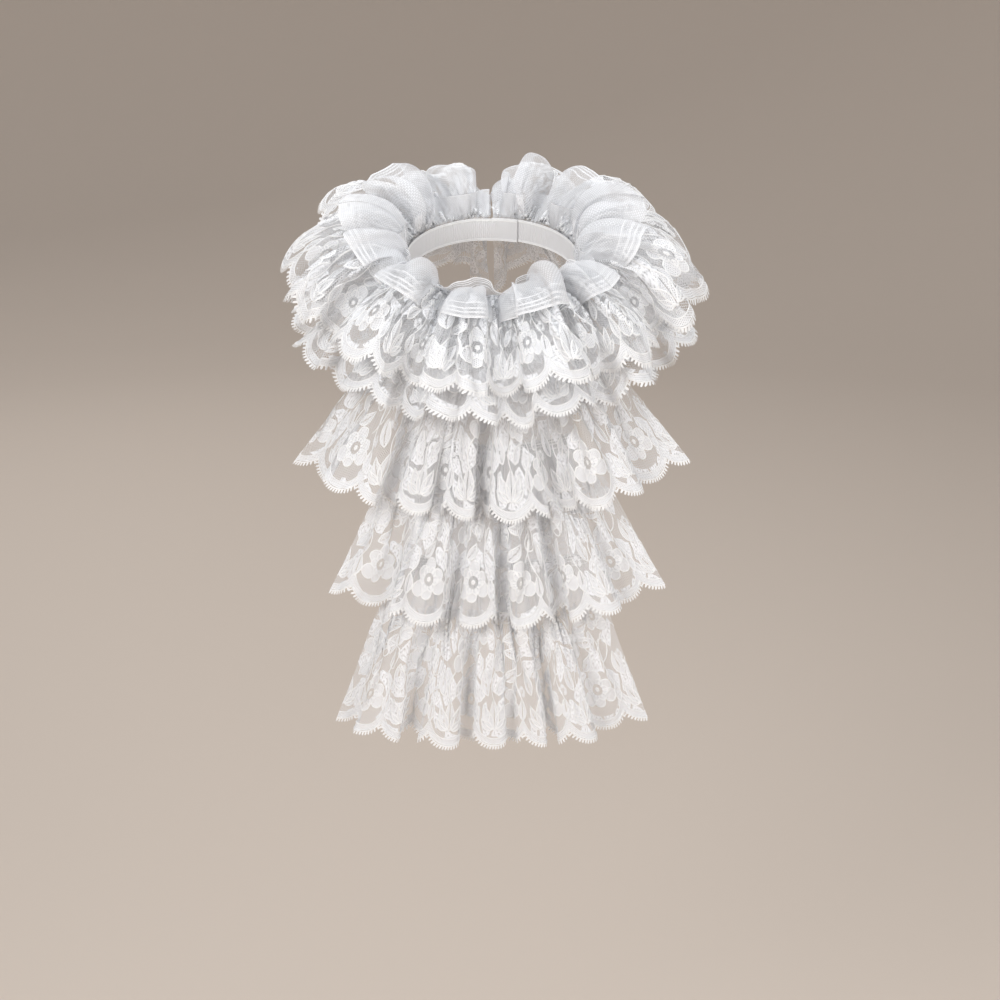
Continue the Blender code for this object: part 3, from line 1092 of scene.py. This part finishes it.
def bump_from(tree, height, distance):
    """A Bump node's normal, from the height of a pattern."""
    bump = tree.nodes.new("ShaderNodeBump")
    bump.inputs["Strength"].default_value = BUMP_STRENGTH
    bump.inputs["Distance"].default_value = distance
    tree.links.new(height, bump.inputs["Height"])
    return bump.outputs["Normal"]


def fill_material():
    """Close threads with small soft holes between them."""
    made, tree, shader = new_material("lace_fill", FILL_WHITE, roughness=0.6, sheen=0.2)
    along, above = cloth_place(tree)
    threads = honeycomb(tree, along, above, FILL_CELL)
    tree.links.new(thread_alpha(tree, threads, FILL_LEVEL, FILL_STEEPNESS), shader.inputs["Alpha"])
    tree.links.new(bump_from(tree, threads, -THREAD_BUMP), shader.inputs["Normal"])
    return made


def cord_material():
    """A bright, solid thread with a fine slanting twist."""
    made, tree, shader = new_material("lace_cord", CORD_WHITE, roughness=0.5, sheen=0.1)
    along, above = cloth_place(tree)
    slant = maths(tree, "ADD", along, above)
    twist = maths(tree, "SINE", maths(tree, "MULTIPLY", slant, 2 * math.pi / CORD_TWIST))
    tree.links.new(bump_from(tree, twist, THREAD_BUMP), shader.inputs["Normal"])
    return made


lace_fill = fill_material()
lace_cord = cord_material()
print("threads:", lace_fill.name, "and", lace_cord.name)

# %% Fills and cords
REPEAT = 2 * SCALLOP
FILL_LIFT = 0.15 * MM
CORD_LIFT = 0.20 * MM
CORD_WIDTH = 0.95 * MM
CORD_HEIGHT = 0.50 * MM
# Across a cord: how far each of its lines lies to the side, in widths, and up, in heights.
RIDGE = ((-0.5, 0.0), (0.0, 1.0), (0.5, 0.0))


def shares(columns, rows):
    """Two tables of shares from 0 to 1: along a grid's rows, and up its columns."""
    return np.meshgrid(np.linspace(0, 1, columns + 1), np.linspace(0, 1, rows + 1))


def add_fill(name, flat):
    """A filled shape, from a table of flat places."""
    lift = np.full(flat.shape[:-1] + (1,), FILL_LIFT)
    return grid_at(name, np.concatenate([flat, lift], axis=-1), lace_fill)


def add_cord(name, path, width=CORD_WIDTH, height=CORD_HEIGHT):
    """A low ridge along a flat path. A thin one is flat, with one face across."""
    run = unit(np.gradient(path, axis=0))
    left = np.stack([-run[:, 1], run[:, 0]], axis=-1)
    rows = []
    for beside, up in RIDGE if height else RIDGE[::2]:
        lift = np.full((len(path), 1), CORD_LIFT + up * height)
        rows.append(np.concatenate([path + beside * width * left, lift], axis=-1))
    return grid_at(name, np.stack(rows), lace_cord)


def joined(pieces, name):
    """Pieces made one, under a name."""
    select_only(*pieces)
    bpy.ops.object.join()
    pieces[0].name = name
    return pieces[0]


def arrayed(piece, step, count):
    """A piece repeated along the strip, by an Array modifier that is then applied."""
    select_only(piece)
    array = piece.modifiers.new("along_the_strip", "ARRAY")
    array.use_relative_offset = False
    array.use_constant_offset = True
    array.constant_offset_displace = (step, 0, 0)
    array.count = count
    bpy.ops.object.modifier_apply(modifier=array.name)
    return piece


print("a cord is", round(CORD_WIDTH / MM, 2), "mm wide")

# %% Petals and flowers
PETAL_COLUMNS = 6
PETAL_ROWS = 4
PETAL_ROUNDNESS = 0.26
PETAL_BLUNTNESS = 2.6
PETAL_WAIST = 0.80
BELLY_START = 0.15
BELLY_RUN = 0.60
PETAL_REACHES = (1.0, 0.87, 1.05, 0.92, 1.08, 0.84)
PETAL_TURNS = (0, 7, -5, 4, -8, 6)
SMALL_DETAIL = 0.5
EYE_SHARE = 0.30
PISTIL_SHARE = 0.24
PISTIL_WIDTH = 1.6
PISTIL_POINTS = 9
HEART_GRID = (3, 2)
HEART_REACH = 0.60
HEART_LIFT = 0.25 * MM


def petal_place(centre, turn, spread, inner, outer):
    """A petal's table: u runs across it and v from the eye outwards."""

    def place(u, v):
        beside = 1 - 2 * u
        reach = inner + (outer * (1 - PETAL_ROUNDNESS * np.abs(beside) ** PETAL_BLUNTNESS) - inner) * v
        belly = np.sin(np.pi * np.clip(BELLY_START + BELLY_RUN * v, 0, 1))
        width = PETAL_WAIST + (1 - PETAL_WAIST) * belly
        angle = turn + beside * spread * width
        return np.stack([centre[0] + reach * np.cos(angle), centre[1] + reach * np.sin(angle)], axis=-1)

    return place


def petal_edge(place):
    """The path round a petal: out along one side, across its end, and back along the other."""
    rise = np.linspace(0, 1, PETAL_COLUMNS + 1)
    u = np.concatenate([0 * rise, rise[1:-1], 0 * rise + 1])
    v = np.concatenate([rise, 0 * rise[1:-1] + 1, rise[::-1]])
    return place(u, v)


def lifted(pieces, height):
    """Raises flat pieces off the cloth, so that they lie on the ones below."""
    for piece in pieces:
        piece.data.transform(Matrix.Translation((0, 0, height)))
    return pieces


def add_flower(name, centre, outer, petals, turn, corded=True):
    """A flower with an open eye and a small middle. A large one has cords, and a second ring of petals."""
    made = []
    inner = EYE_SHARE * outer
    spread = math.pi / petals
    detail = 1 if corded else SMALL_DETAIL
    for petal in range(petals):
        angle = math.radians(turn + PETAL_TURNS[petal]) + 2 * math.pi * petal / petals
        place = petal_place(centre, angle, spread, inner, PETAL_REACHES[petal] * outer)
        table = shares(round(PETAL_COLUMNS * detail), round(PETAL_ROWS * detail))
        made.append(add_fill(name, place(*table)))
        if corded:
            made.append(add_cord(name, petal_edge(place)))
    circle = np.linspace(0, 2 * math.pi, PISTIL_POINTS)
    ring = PISTIL_SHARE * inner * np.stack([np.cos(circle), np.sin(circle)], axis=-1)
    made.append(add_cord(name, centre + ring, width=PISTIL_SHARE * inner * PISTIL_WIDTH))
    if corded:
        for petal in range(petals):
            angle = math.radians(turn) + 2 * math.pi * (petal + 0.5) / petals
            place = petal_place(centre, angle, spread, inner, HEART_REACH * outer)
            heart = [add_fill(name, place(*shares(*HEART_GRID))), add_cord(name, petal_edge(place))]
            made += lifted(heart, HEART_LIFT)
    return made


print(f"a flower's eye is {EYE_SHARE:.0%} of its radius")

# %% Leaves, scrolls and stems
LEAF_COLUMNS = 7
LEAF_SLIT = 0.12
LEAF_BELLY = 0.8
SCROLL_POINTS = 21
STEM_POINTS = 15


def leaf_place(base, turn, length, width, bend):
    """A leaf's table: u runs from its base to its tip, and v from its right edge to its left."""

    def place(u, v):
        along, beside = bent_run(u * length, length, turn, turn + bend)
        heading = np.radians(turn + bend * u)
        half = width / 2 * np.sin(math.pi * u**LEAF_BELLY) * (2 * v - 1)
        x = base[0] + along - half * np.sin(heading)
        return np.stack([x, base[1] + beside + half * np.cos(heading)], axis=-1)

    return place


def add_leaf(name, base, turn, length, width, bend=0):
    """A leaf in two halves, with a slit of open net between them and a cord round it."""
    place = leaf_place(base, turn, length, width, bend)
    u, v = shares(LEAF_COLUMNS, 1)
    half = (1 - LEAF_SLIT) / 2
    made = [add_fill(name, place(u, half * v)), add_fill(name, place(u, 1 - half + half * v))]
    out_and_back = np.concatenate([u[0], u[0, -2::-1]])
    side = np.concatenate([0 * u[0], 0 * u[0, 1:] + 1])
    return made + [add_cord(name, place(out_and_back, side))]


def add_scroll(name, centre, length, width, turn):
    """An open oval of cord."""
    angle = np.linspace(0, 2 * math.pi, SCROLL_POINTS)
    long_way, short_way = length / 2 * np.cos(angle), width / 2 * np.sin(angle)
    cosine, sine = math.cos(math.radians(turn)), math.sin(math.radians(turn))
    x = centre[0] + long_way * cosine - short_way * sine
    return add_cord(name, np.stack([x, centre[1] + long_way * sine + short_way * cosine], axis=-1))


def add_stem(name, start, end, bow):
    """A cord from start to end that bows to its left."""
    run = np.linspace(0, 1, STEM_POINTS)[:, None]
    start, end = np.array(start), np.array(end)
    left = np.array([start[1] - end[1], end[0] - start[0]]) / np.linalg.norm(end - start)
    return add_cord(name, start + (end - start) * run + 4 * bow * left * run * (1 - run))


print("a leaf has", LEAF_COLUMNS * 2, "filled faces")

# %% [markdown]
# ## The scalloped border
#
# A dense band follows the scallops and peaks over each notch. Loops of thread stand out from the edge, with
# a narrow line of open net between them and the band. The loops are what the eye reads as lace from a step
# away, so each one is modelled, but as a flat ribbon of a few faces, because a hem has hundreds.

# %% Border and loops
BORDER_COLUMNS = 48
BORDER_ROWS = 3
BORDER_GAP = 1.3 * MM
BORDER_HEIGHT = 4.6 * MM
# The widths of the cords along the net's edge, the band's foot and its top.
BORDER_CORDS = (1.0 * MM, 0.55 * MM, 0.75 * MM)
BORDER_PEAK = 5.5 * MM
LOOPS_PER_REPEAT = 34
LOOP_PITCH = REPEAT / LOOPS_PER_REPEAT
LOOP_WIDTH = 0.85 * MM
LOOP_THREAD = 0.90 * MM
LOOP_SLANT = 0.30
LOOP_OVERLAP = 0.5 * MM
LOOP_POINTS = 7
LOOP_BLUNTNESS = 0.6


def net_edge(x):
    """The height of the net's lower edge above the scallops' tips."""
    return hem_rise(x) + LOOP_LENGTH


def add_border(name):
    """The band over the scallops, with a cord along each of its edges and one along the net's."""
    x = np.linspace(0, REPEAT, BORDER_COLUMNS + 1)
    foot = net_edge(x) + BORDER_GAP
    top = foot + BORDER_HEIGHT + BORDER_PEAK * (1 - scallop(x)) ** 2
    steps = np.linspace(0, 1, BORDER_ROWS + 1)
    table = [np.stack([x, foot + share * (top - foot)], axis=-1) for share in steps]
    edges = [net_edge(x), foot, top]
    made = [add_fill(name, np.stack(table))]
    for edge, width in zip(edges, BORDER_CORDS):
        made.append(add_cord(name, np.stack([x, edge], axis=-1), width=width))
    return made


def add_loops(name):
    """U-shaped loops of thread that stand out square to the edge."""
    made = []
    for count in range(LOOPS_PER_REPEAT):
        x = (count + 0.5) * LOOP_PITCH
        slope = (net_edge(np.array(x + MM)) - net_edge(np.array(x - MM))) / (2 * MM)
        edge = np.array([1.0, slope]) / math.hypot(1.0, slope)
        out = np.array([edge[1], -edge[0]])
        swing = np.linspace(0, math.pi, LOOP_POINTS)
        reach = LOOP_LENGTH * np.sin(swing) ** LOOP_BLUNTNESS - LOOP_OVERLAP
        beside = LOOP_SLANT * reach - LOOP_WIDTH / 2 * np.cos(swing)
        root = np.array([x, float(net_edge(np.array(x)))])
        path = root + beside[:, None] * edge + reach[:, None] * out
        made.append(add_cord(name, path, width=LOOP_THREAD, height=0))
    return made


print("loops:", LOOPS_PER_REPEAT, "to a repeat")

# %% [markdown]
# ## One repeat of the lace
#
# The tables below are the design: where each flower, leaf, scroll and stem lies, in millimetres. It is a
# plain one, laid out for this collar: one large flower over every second scallop, leaves that spring from
# the notches, two flowers above, joined by bowed stems, and small flowers in the gaps.

# %% Draw the repeat
FLOWERS = (
    {"centre": (40, 36), "outer": 16.5, "petals": 6, "turn": 90},
    {"centre": (64, 74), "outer": 15.0, "petals": 5, "turn": 54},
    {"centre": (20, 97), "outer": 14.0, "petals": 5, "turn": 90},
)
SMALL_FLOWERS = ((20, 46), (60, 47), (43, 84), (86, 62), (40, 105), (74, 104))
SMALL_FLOWER = {"outer": 4.8 * MM, "petals": 5, "turn": 90, "corded": False}
LEAVES = (
    {"base": (80, 16), "turn": 90, "length": 25, "width": 10},
    {"base": (79, 17), "turn": 128, "length": 21, "width": 8.5, "bend": -22},
    {"base": (81, 17), "turn": 52, "length": 21, "width": 8.5, "bend": 22},
    {"base": (78, 17), "turn": 160, "length": 14, "width": 6.5, "bend": -30},
    {"base": (82, 17), "turn": 20, "length": 14, "width": 6.5, "bend": 30},
    {"base": (20, 23), "turn": 90, "length": 17, "width": 8},
    {"base": (60, 23), "turn": 90, "length": 17, "width": 8},
    {"base": (7, 44), "turn": 62, "length": 22, "width": 9.5, "bend": 26},
    {"base": (75, 44), "turn": 118, "length": 18, "width": 8, "bend": 20},
    {"base": (50, 53), "turn": 150, "length": 17, "width": 8.5, "bend": -40},
    {"base": (49, 78), "turn": 200, "length": 19, "width": 9, "bend": -45},
    {"base": (50, 86), "turn": 145, "length": 20, "width": 9.5, "bend": 30},
    {"base": (62, 90), "turn": 95, "length": 20, "width": 9.5, "bend": 20},
    {"base": (66, 89), "turn": 58, "length": 21, "width": 9, "bend": -30},
    {"base": (32, 86), "turn": 285, "length": 17, "width": 8, "bend": -30},
)
SCROLLS = (
    {"centre": (22, 68), "length": 20, "width": 11, "turn": 110},
    {"centre": (38, 73), "length": 13, "width": 7, "turn": 60},
    {"centre": (52, 105), "length": 15, "width": 8, "turn": 15},
)
STEMS = (
    {"start": (20, 40), "end": (17, 82), "bow": -8},
    {"start": (30, 50), "end": (30, 82), "bow": 5},
    {"start": (60, 40), "end": (58, 60), "bow": 4},
    {"start": (80, 41), "end": (76, 64), "bow": -4},
    {"start": (33, 98), "end": (52, 84), "bow": 4},
    {"start": (78, 80), "end": (92, 90), "bow": 4},
)


def in_mm(spec, sizes):
    """A row of a design table with its sizes turned from millimetres to metres."""
    return {key: np.array(value) * MM if key in sizes else value for key, value in spec.items()}


def draw_repeat():
    """One flat repeat of flowers, leaves, scrolls, stems, border and loops, joined into one mesh."""
    name = "lace_repeat"
    made = add_border(name) + add_loops(name)
    for flower in FLOWERS:
        made += add_flower(name, **in_mm(flower, ("centre", "outer")))
    for centre in SMALL_FLOWERS:
        made += add_flower(name, np.array(centre) * MM, **SMALL_FLOWER)
    for leaf in LEAVES:
        made += add_leaf(name, **in_mm(leaf, ("base", "length", "width")))
    for scroll in SCROLLS:
        made.append(add_scroll(name, **in_mm(scroll, ("centre", "length", "width"))))
    for stem in STEMS:
        made.append(add_stem(name, **in_mm(stem, ("start", "end", "bow"))))
    return joined(made, name)


lace_repeat = draw_repeat()
print("one repeat:", len(lace_repeat.data.polygons), "faces")

# %% [markdown]
# ## Carrying the flowers on to the gathered cloth
#
# The repeat is arrayed to the strip's length with an Array modifier, and cut off with Bisect at the strip's
# ends and just under its seam. It is still flat then. Each of its points has a place on the flat cloth, so
# we look up the same place in the strip's net of points, and move it there, a little out along the normal.

# %% Array, trim and carry
SEAM_ALLOWANCE = 2 * MM
CUT_THRESHOLD = 1e-6


def read_table(table, row, column):
    """A table's value between its rows and columns. Past its edges it goes on in a straight line."""
    low_row = np.clip(np.floor(row), 0, table.shape[0] - 2).astype(int)
    low_column = np.clip(np.floor(column), 0, table.shape[1] - 2).astype(int)
    up, over = (row - low_row)[:, None], (column - low_column)[:, None]
    near = table[low_row, low_column] * (1 - over) + table[low_row, low_column + 1] * over
    far = table[low_row + 1, low_column] * (1 - over) + table[low_row + 1, low_column + 1] * over
    return near * (1 - up) + far * up


def carry(strip, piece):
    """Moves a flat piece on to a strip: x is along it, y is up from its tips and z is out from it."""
    mesh = piece.data
    flat = np.empty(len(mesh.vertices) * 3, dtype=np.float32)
    mesh.vertices.foreach_get("co", flat)
    along, above, lift = flat.astype(np.float64).reshape(-1, 3).T
    down = strip["fall"] - above
    edge = net_fall(strip["fall"], along)
    column = along / strip["length"] * (strip["points"].shape[1] - 1)
    # A tier has no heading, and the millimetre only keeps its row from being divided by nothing.
    heading_row = strip["heading_rows"] * (1 + down / max(strip["heading"], MM))
    fall_row = strip["heading_rows"] + down / edge * strip["fall_rows"]
    row = np.where(down < 0, heading_row, fall_row)
    normal = unit(read_table(strip["normals"], row, column))
    placed = read_table(strip["points"], row, column) + normal * lift[:, None]
    mesh.vertices.foreach_set("co", placed.astype(np.float32).ravel())
    set_flat_uv(mesh, np.stack([along, above], axis=-1))
    # A strip is counted downwards and a drawing upwards. That mirrors the drawing, and this turns its
    # faces back.
    mesh.flip_normals()
    mesh.shade_smooth()
    mesh.update()


def cut_off(piece, place, direction):
    """Bisects a flat piece and clears what lies beyond the cut."""
    select_only(piece)
    bpy.ops.object.mode_set(mode="EDIT")
    bpy.ops.mesh.select_all(action="SELECT")
    bpy.ops.mesh.bisect(plane_co=place, plane_no=direction, clear_outer=True, threshold=CUT_THRESHOLD)
    bpy.ops.object.mode_set(mode="OBJECT")


def repeated(name, length):
    """Copies of the repeat along a strip, and one before its start, for the leaves that cross over."""
    piece = lace_repeat.copy()
    piece.data = lace_repeat.data.copy()
    bpy.context.collection.objects.link(piece)
    piece.name = name
    piece.data.name = name
    piece.location.x = -REPEAT
    select_only(piece)
    bpy.ops.object.transform_apply(location=True)
    return arrayed(piece, REPEAT, math.ceil(length / REPEAT) + 1)


def add_flowers(strip):
    """The flowers, border and loops of a strip, cut to its size and carried on to it."""
    piece = repeated(strip["name"] + "_flowers", strip["length"])
    cut_off(piece, (0, 0, 0), (-1, 0, 0))
    cut_off(piece, (strip["length"], 0, 0), (1, 0, 0))
    cut_off(piece, (0, strip["fall"] - SEAM_ALLOWANCE, 0), (0, 1, 0))
    carry(strip, piece)
    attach(piece, "root")
    return piece


flowers = {name: add_flowers(strip) for name, strip in strips.items()}
bpy.data.objects.remove(lace_repeat)
print("flower faces:", {name: len(piece.data.polygons) for name, piece in flowers.items()})

# %% [markdown]
# ## The corded selvedge
#
# The upper edge of the lace is a selvedge: a thick cord, and three thin threads below it. On the headings
# it shows as a bright line with fainter ones beside it. A row of stitches runs along the seam. All of them
# are drawn flat and carried on to the strip as the flowers are, so they follow every gather.

# %% Selvedge and stitches
SELVEDGE = (
    {"inset": 0.5 * MM, "width": 1.3 * MM, "height": 0.50 * MM},
    {"inset": 2.9 * MM, "width": 0.80 * MM, "height": 0},
    {"inset": 5.0 * MM, "width": 0.80 * MM, "height": 0},
    {"inset": 8.5 * MM, "width": 0.60 * MM, "height": 0},
)
SELVEDGE_STEP = 2.0 * MM
STITCH_PITCH = 5.0 * MM
STITCH_LENGTH = 3.2 * MM
STITCH_DOWN = 1.2 * MM


def add_selvedge(strip):
    """The cords along the upper edge of a strip, and the stitches along its seam."""
    name = strip["name"] + "_selvedge"
    top = strip["fall"] + strip["heading"]
    x = np.linspace(0, strip["length"], round(strip["length"] / SELVEDGE_STEP) + 1)
    made = []
    for thread in SELVEDGE:
        path = np.stack([x, top - thread["inset"] + 0 * x], axis=-1)
        made.append(add_cord(name, path, width=thread["width"], height=thread["height"]))
    seam = strip["fall"] - STITCH_DOWN
    stitch = add_cord(name, np.array([[0.0, seam], [STITCH_LENGTH / 2, seam], [STITCH_LENGTH, seam]]))
    stitches = arrayed(stitch, STITCH_PITCH, int(strip["length"] / STITCH_PITCH))
    selvedge = joined([stitches, *made], name)
    carry(strip, selvedge)
    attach(selvedge, "root")
    return selvedge


selvedges = {name: add_selvedge(strip) for name, strip in strips.items()}
print("selvedges:", len(selvedges))

# %% [markdown]
# ## The neckband and the backing
#
# The neckband is a plain ribbon whose ends lap at the back. Woven ribbon has fine ribs across it and firm
# edges. The ribs are too fine to model, so they are in the material, and two cords run along each edge. The
# backing is plain net, finer than the lace's own, and is there only to carry the tiers.

# %% Ribbon neckband
BAND_WIDTH = BAND_TOP - BAND_BOTTOM
BAND_LAP = 0.05
BAND_STEP = 0.04
RIB_PITCH = 1.6 * MM
RIB_BUMP = 0.40 * MM
WEFT_PITCH = RIB_PITCH / 2
WEFT_SHARE = 0.3
RIBBON_WHITE = (0.87, 0.875, 0.89)
BAND_COLUMNS = 240
BAND_ROWS = 8
# How high each cord lies, as a share of the ribbon's width.
BAND_CORDS = (0.03, 0.09, 0.91, 0.97)
BAND_CORD_WIDTH = 0.9 * MM
BAND_CORD_HEIGHT = 0.35 * MM


def ribbon_material():
    """A close weave, with ribs across the ribbon and a fine weft along it."""
    made, tree, shader = new_material("woven_ribbon", RIBBON_WHITE, roughness=0.45, sheen=0.3)
    along, height = cloth_place(tree)
    ribs = maths(tree, "SINE", maths(tree, "MULTIPLY", along, 2 * math.pi / RIB_PITCH))
    weft = maths(tree, "SINE", maths(tree, "MULTIPLY", height, 2 * math.pi / WEFT_PITCH))
    weave = maths(tree, "MULTIPLY_ADD", weft, WEFT_SHARE, ribs)
    tree.links.new(bump_from(tree, weave, RIB_BUMP), shader.inputs["Normal"])
    return made


def band_points(along, height, inwards=0.0):
    """The ribbon round the neckline. Its last twentieth laps inside its own start."""
    turn = along * (1 + BAND_LAP)
    step = np.clip((turn - (1 - BAND_STEP)) / BAND_STEP, 0, 1)
    out = layer_middle(0) - LAYER * eased(step) - inwards
    return neckline(turn, out, BAND_BOTTOM + BAND_WIDTH * height)


def add_band_cord(height):
    """A cord woven along the ribbon, on its inner face."""
    along = np.linspace(0, 1, BAND_COLUMNS + 1)
    rows = []
    for beside, up in RIDGE:
        place = height + beside * BAND_CORD_WIDTH / BAND_WIDTH + 0 * along
        rows.append(band_points(along, place, CORD_LIFT + up * BAND_CORD_HEIGHT))
    run = np.tile(along, (len(RIDGE), 1))
    flat = np.stack([run * neck_round, height + 0 * run], axis=-1)
    return add_cloth("neckband_cord", np.stack(rows[::-1]), flat, lace_cord)


def add_band_cords():
    """All the cords of the ribbon, joined."""
    cords = joined([add_band_cord(height) for height in BAND_CORDS], "neckband_cords")
    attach(cords, "root")
    return cords


def add_neckband():
    """The ribbon as one sheet, and its cords as a piece beside it."""
    along, height = shares(BAND_COLUMNS, BAND_ROWS)
    length = neck_round * (1 + BAND_LAP)
    flat = np.stack([along * length, height * BAND_WIDTH], axis=-1)
    band = add_cloth("neckband_ribbon", band_points(along, height), flat, ribbon_material())
    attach(band, "root")
    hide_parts("neck_band")
    add_band_cords()
    return band


neckband = add_neckband()
print("neckband:", len(neckband.data.polygons), "faces")

# %% Net backing
BACKING_COLUMNS = 60
BACKING_ROWS = 70
BACKING_CELL = 1.1 * MM
BACKING_LEVEL = -0.15


def backing_material():
    """Plain net, finer and closer than the lace's."""
    made, tree, shader = new_material("backing_net", NET_WHITE, roughness=0.75, sheen=0.2)
    along, down = cloth_place(tree)
    threads = honeycomb(tree, along, down, BACKING_CELL)
    alpha = thread_alpha(tree, threads, BACKING_LEVEL, NET_STEEPNESS)
    tree.links.new(alpha, shader.inputs["Alpha"])
    return made


def add_backing():
    """The panel of plain net, with its flat cut measured from its curved form."""
    across, down = shares(BACKING_COLUMNS, BACKING_ROWS)
    points = backing_points(across, down)
    widths = np.linalg.norm(np.diff(points, axis=1), axis=-1).sum(axis=1)
    height = np.linalg.norm(np.diff(points[:, BACKING_COLUMNS // 2], axis=0), axis=-1).sum()
    flat = np.stack([(across - 0.5) * widths[:, None], down * height], axis=-1)
    panel = add_cloth("backing_net_panel", points, flat, backing_material())
    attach(panel, "root")
    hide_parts("backing_panel")
    return panel


backing = add_backing()
print("backing:", len(backing.data.polygons), "faces")
